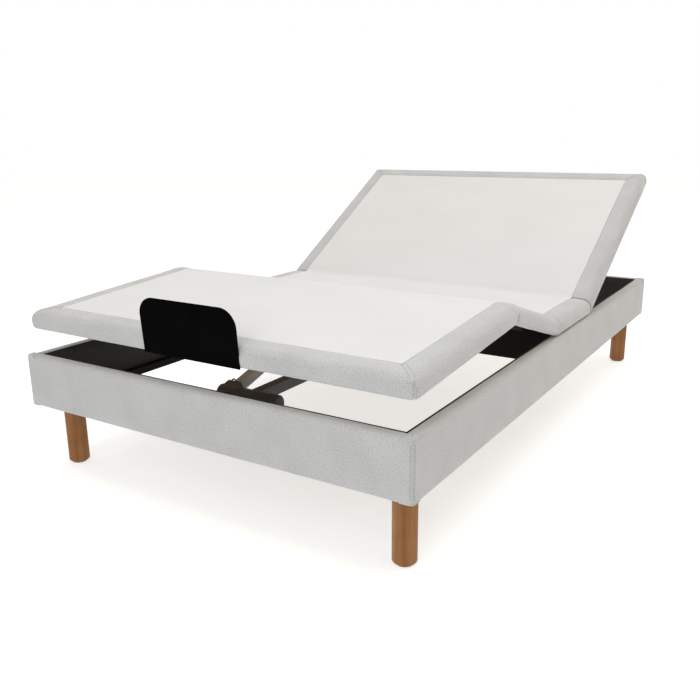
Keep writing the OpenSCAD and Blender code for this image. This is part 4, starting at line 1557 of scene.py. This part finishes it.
class FrameParts:
    """CAD pieces that keep their own shape and get a finish."""

    own: dict[str, Finish] = {f"{part}_board": Finish.PLY for part in ("seat", "back", "thigh", "leg")}

    def dress(self) -> None:
        """Give each CAD piece the finish of its slot."""
        for name, obj in frame["nodes"].items():
            for spot in obj.material_slots:
                key = spot.material.name.split(".")[0] if spot.material else ""
                finish = self.own.get(name) or SLOT_FINISH.get(key, Finish.STEEL)
                spot.material = finish.material()
            LOG.info("%s: %s", name, obj.material_slots[0].material.name if obj.material_slots else "none")


# ---------------------------------------------------------------- studio


@dataclass
class Studio:
    """Pale floor, soft lights, white surround and the camera."""

    spot: Vector = field(default_factory=lambda: Vector((1.2487, -2.2457, 0.9073)))
    yaw: float = math.radians(32.50)
    pitch: float = math.radians(15.65)
    roll: float = math.radians(-0.58)
    lens: float = 39.74
    shade: Colour = (0.45, 0.375, 0.265)
    shade_from: tuple[float, float, float] = (-0.78, 0.62, 0.25)
    floor_half: float = 14.0

    def camera(self) -> None:
        """Stand the camera and make it the scene's."""
        data = bpy.data.cameras.new("camera")
        data.lens, data.sensor_width, data.clip_start, data.clip_end = self.lens, 36.0, 0.05, 100.0
        camera = bpy.data.objects.new("camera", data)
        bpy.context.scene.collection.objects.link(camera)
        turn = Matrix.Rotation(self.yaw, 3, "Z") @ Matrix.Rotation(math.pi / 2 - self.pitch, 3, "X")
        turn = turn @ Matrix.Rotation(self.roll, 3, "Z")
        camera.matrix_world = Matrix.Translation(self.spot) @ turn.to_4x4()
        bpy.context.scene.camera = camera

    def floor(self) -> None:
        """Lay a wide pale floor."""
        bm = bmesh.new()
        bmesh.ops.create_grid(bm, x_segments=2, y_segments=2, size=self.floor_half)
        finished(bm, "floor", Finish.FLOOR)

    def light(self, name: str, at: Sequence[float], to: Sequence[float], size: float, power: float,
              tint: Colour) -> None:
        """Hang one soft light.

        Args:
            name: name of the light.
            at: where it hangs.
            to: where it points.
            size: side of its square.
            power: watts.
            tint: colour of the light.
        """
        data = bpy.data.lights.new(name, "AREA")
        data.color = tint
        data.shape, data.size, data.size_y, data.energy = "RECTANGLE", size, size, power
        lamp = bpy.data.objects.new(name, data)
        aim = (Vector(to) - Vector(at)).to_track_quat("-Z", "Y")
        lamp.matrix_world = Matrix.Translation(at) @ aim.to_matrix().to_4x4()
        bpy.context.scene.collection.objects.link(lamp)

    def build(self) -> None:
        """Set the camera, floor, surround and lights."""
        scene = bpy.context.scene
        scene.view_settings.view_transform = "Standard"
        world = bpy.data.worlds.new("surround")
        scene.world = world
        world.use_nodes = True
        tree = world.node_tree
        ground = tree.nodes["Background"]
        ground.inputs["Strength"].default_value = 1.0
        coords = tree.nodes.new("ShaderNodeTexCoord")
        facing = tree.nodes.new("ShaderNodeVectorMath")
        facing.operation = "DOT_PRODUCT"
        facing.inputs[1].default_value = self.shade_from
        ramp = tree.nodes.new("ShaderNodeValToRGB")
        low, high = ramp.color_ramp.elements
        low.position, low.color = 0.0, (*self.shade, 1.0)
        high.position, high.color = 0.4, (1.0, 1.0, 1.0, 1.0)
        tree.links.new(coords.outputs["Generated"], facing.inputs[0])
        tree.links.new(facing.outputs["Value"], ramp.inputs["Fac"])
        tree.links.new(ramp.outputs["Color"], ground.inputs["Color"])
        self.camera()
        self.floor()
        self.light("key", (0.9, -3.6, 2.0), (0.1, -0.6, 0.3), 2.2, 38.0, (0.80, 0.90, 1.0))
        self.light("over", (0.9, 0.2, 4.2), (0, 0, 0.3), 4.5, 112.0, (0.985, 0.99, 1.0))


def main() -> None:
    """Build every piece in order."""
    logging.basicConfig(level=logging.INFO, format="%(name)s %(message)s")
    FrameParts().dress()
    Studio().build()
    UpholsteredBox().build()
    for corner in ("foot_left", "foot_right", "head_left", "head_right"):
        TurnedLeg(f"{corner}_leg").build()
    FoldingDeck().build()
    for name in ("foot_actuator", "head_actuator"):
        ActuatorTrim(name).build()


if __name__ == "__main__":
    main()
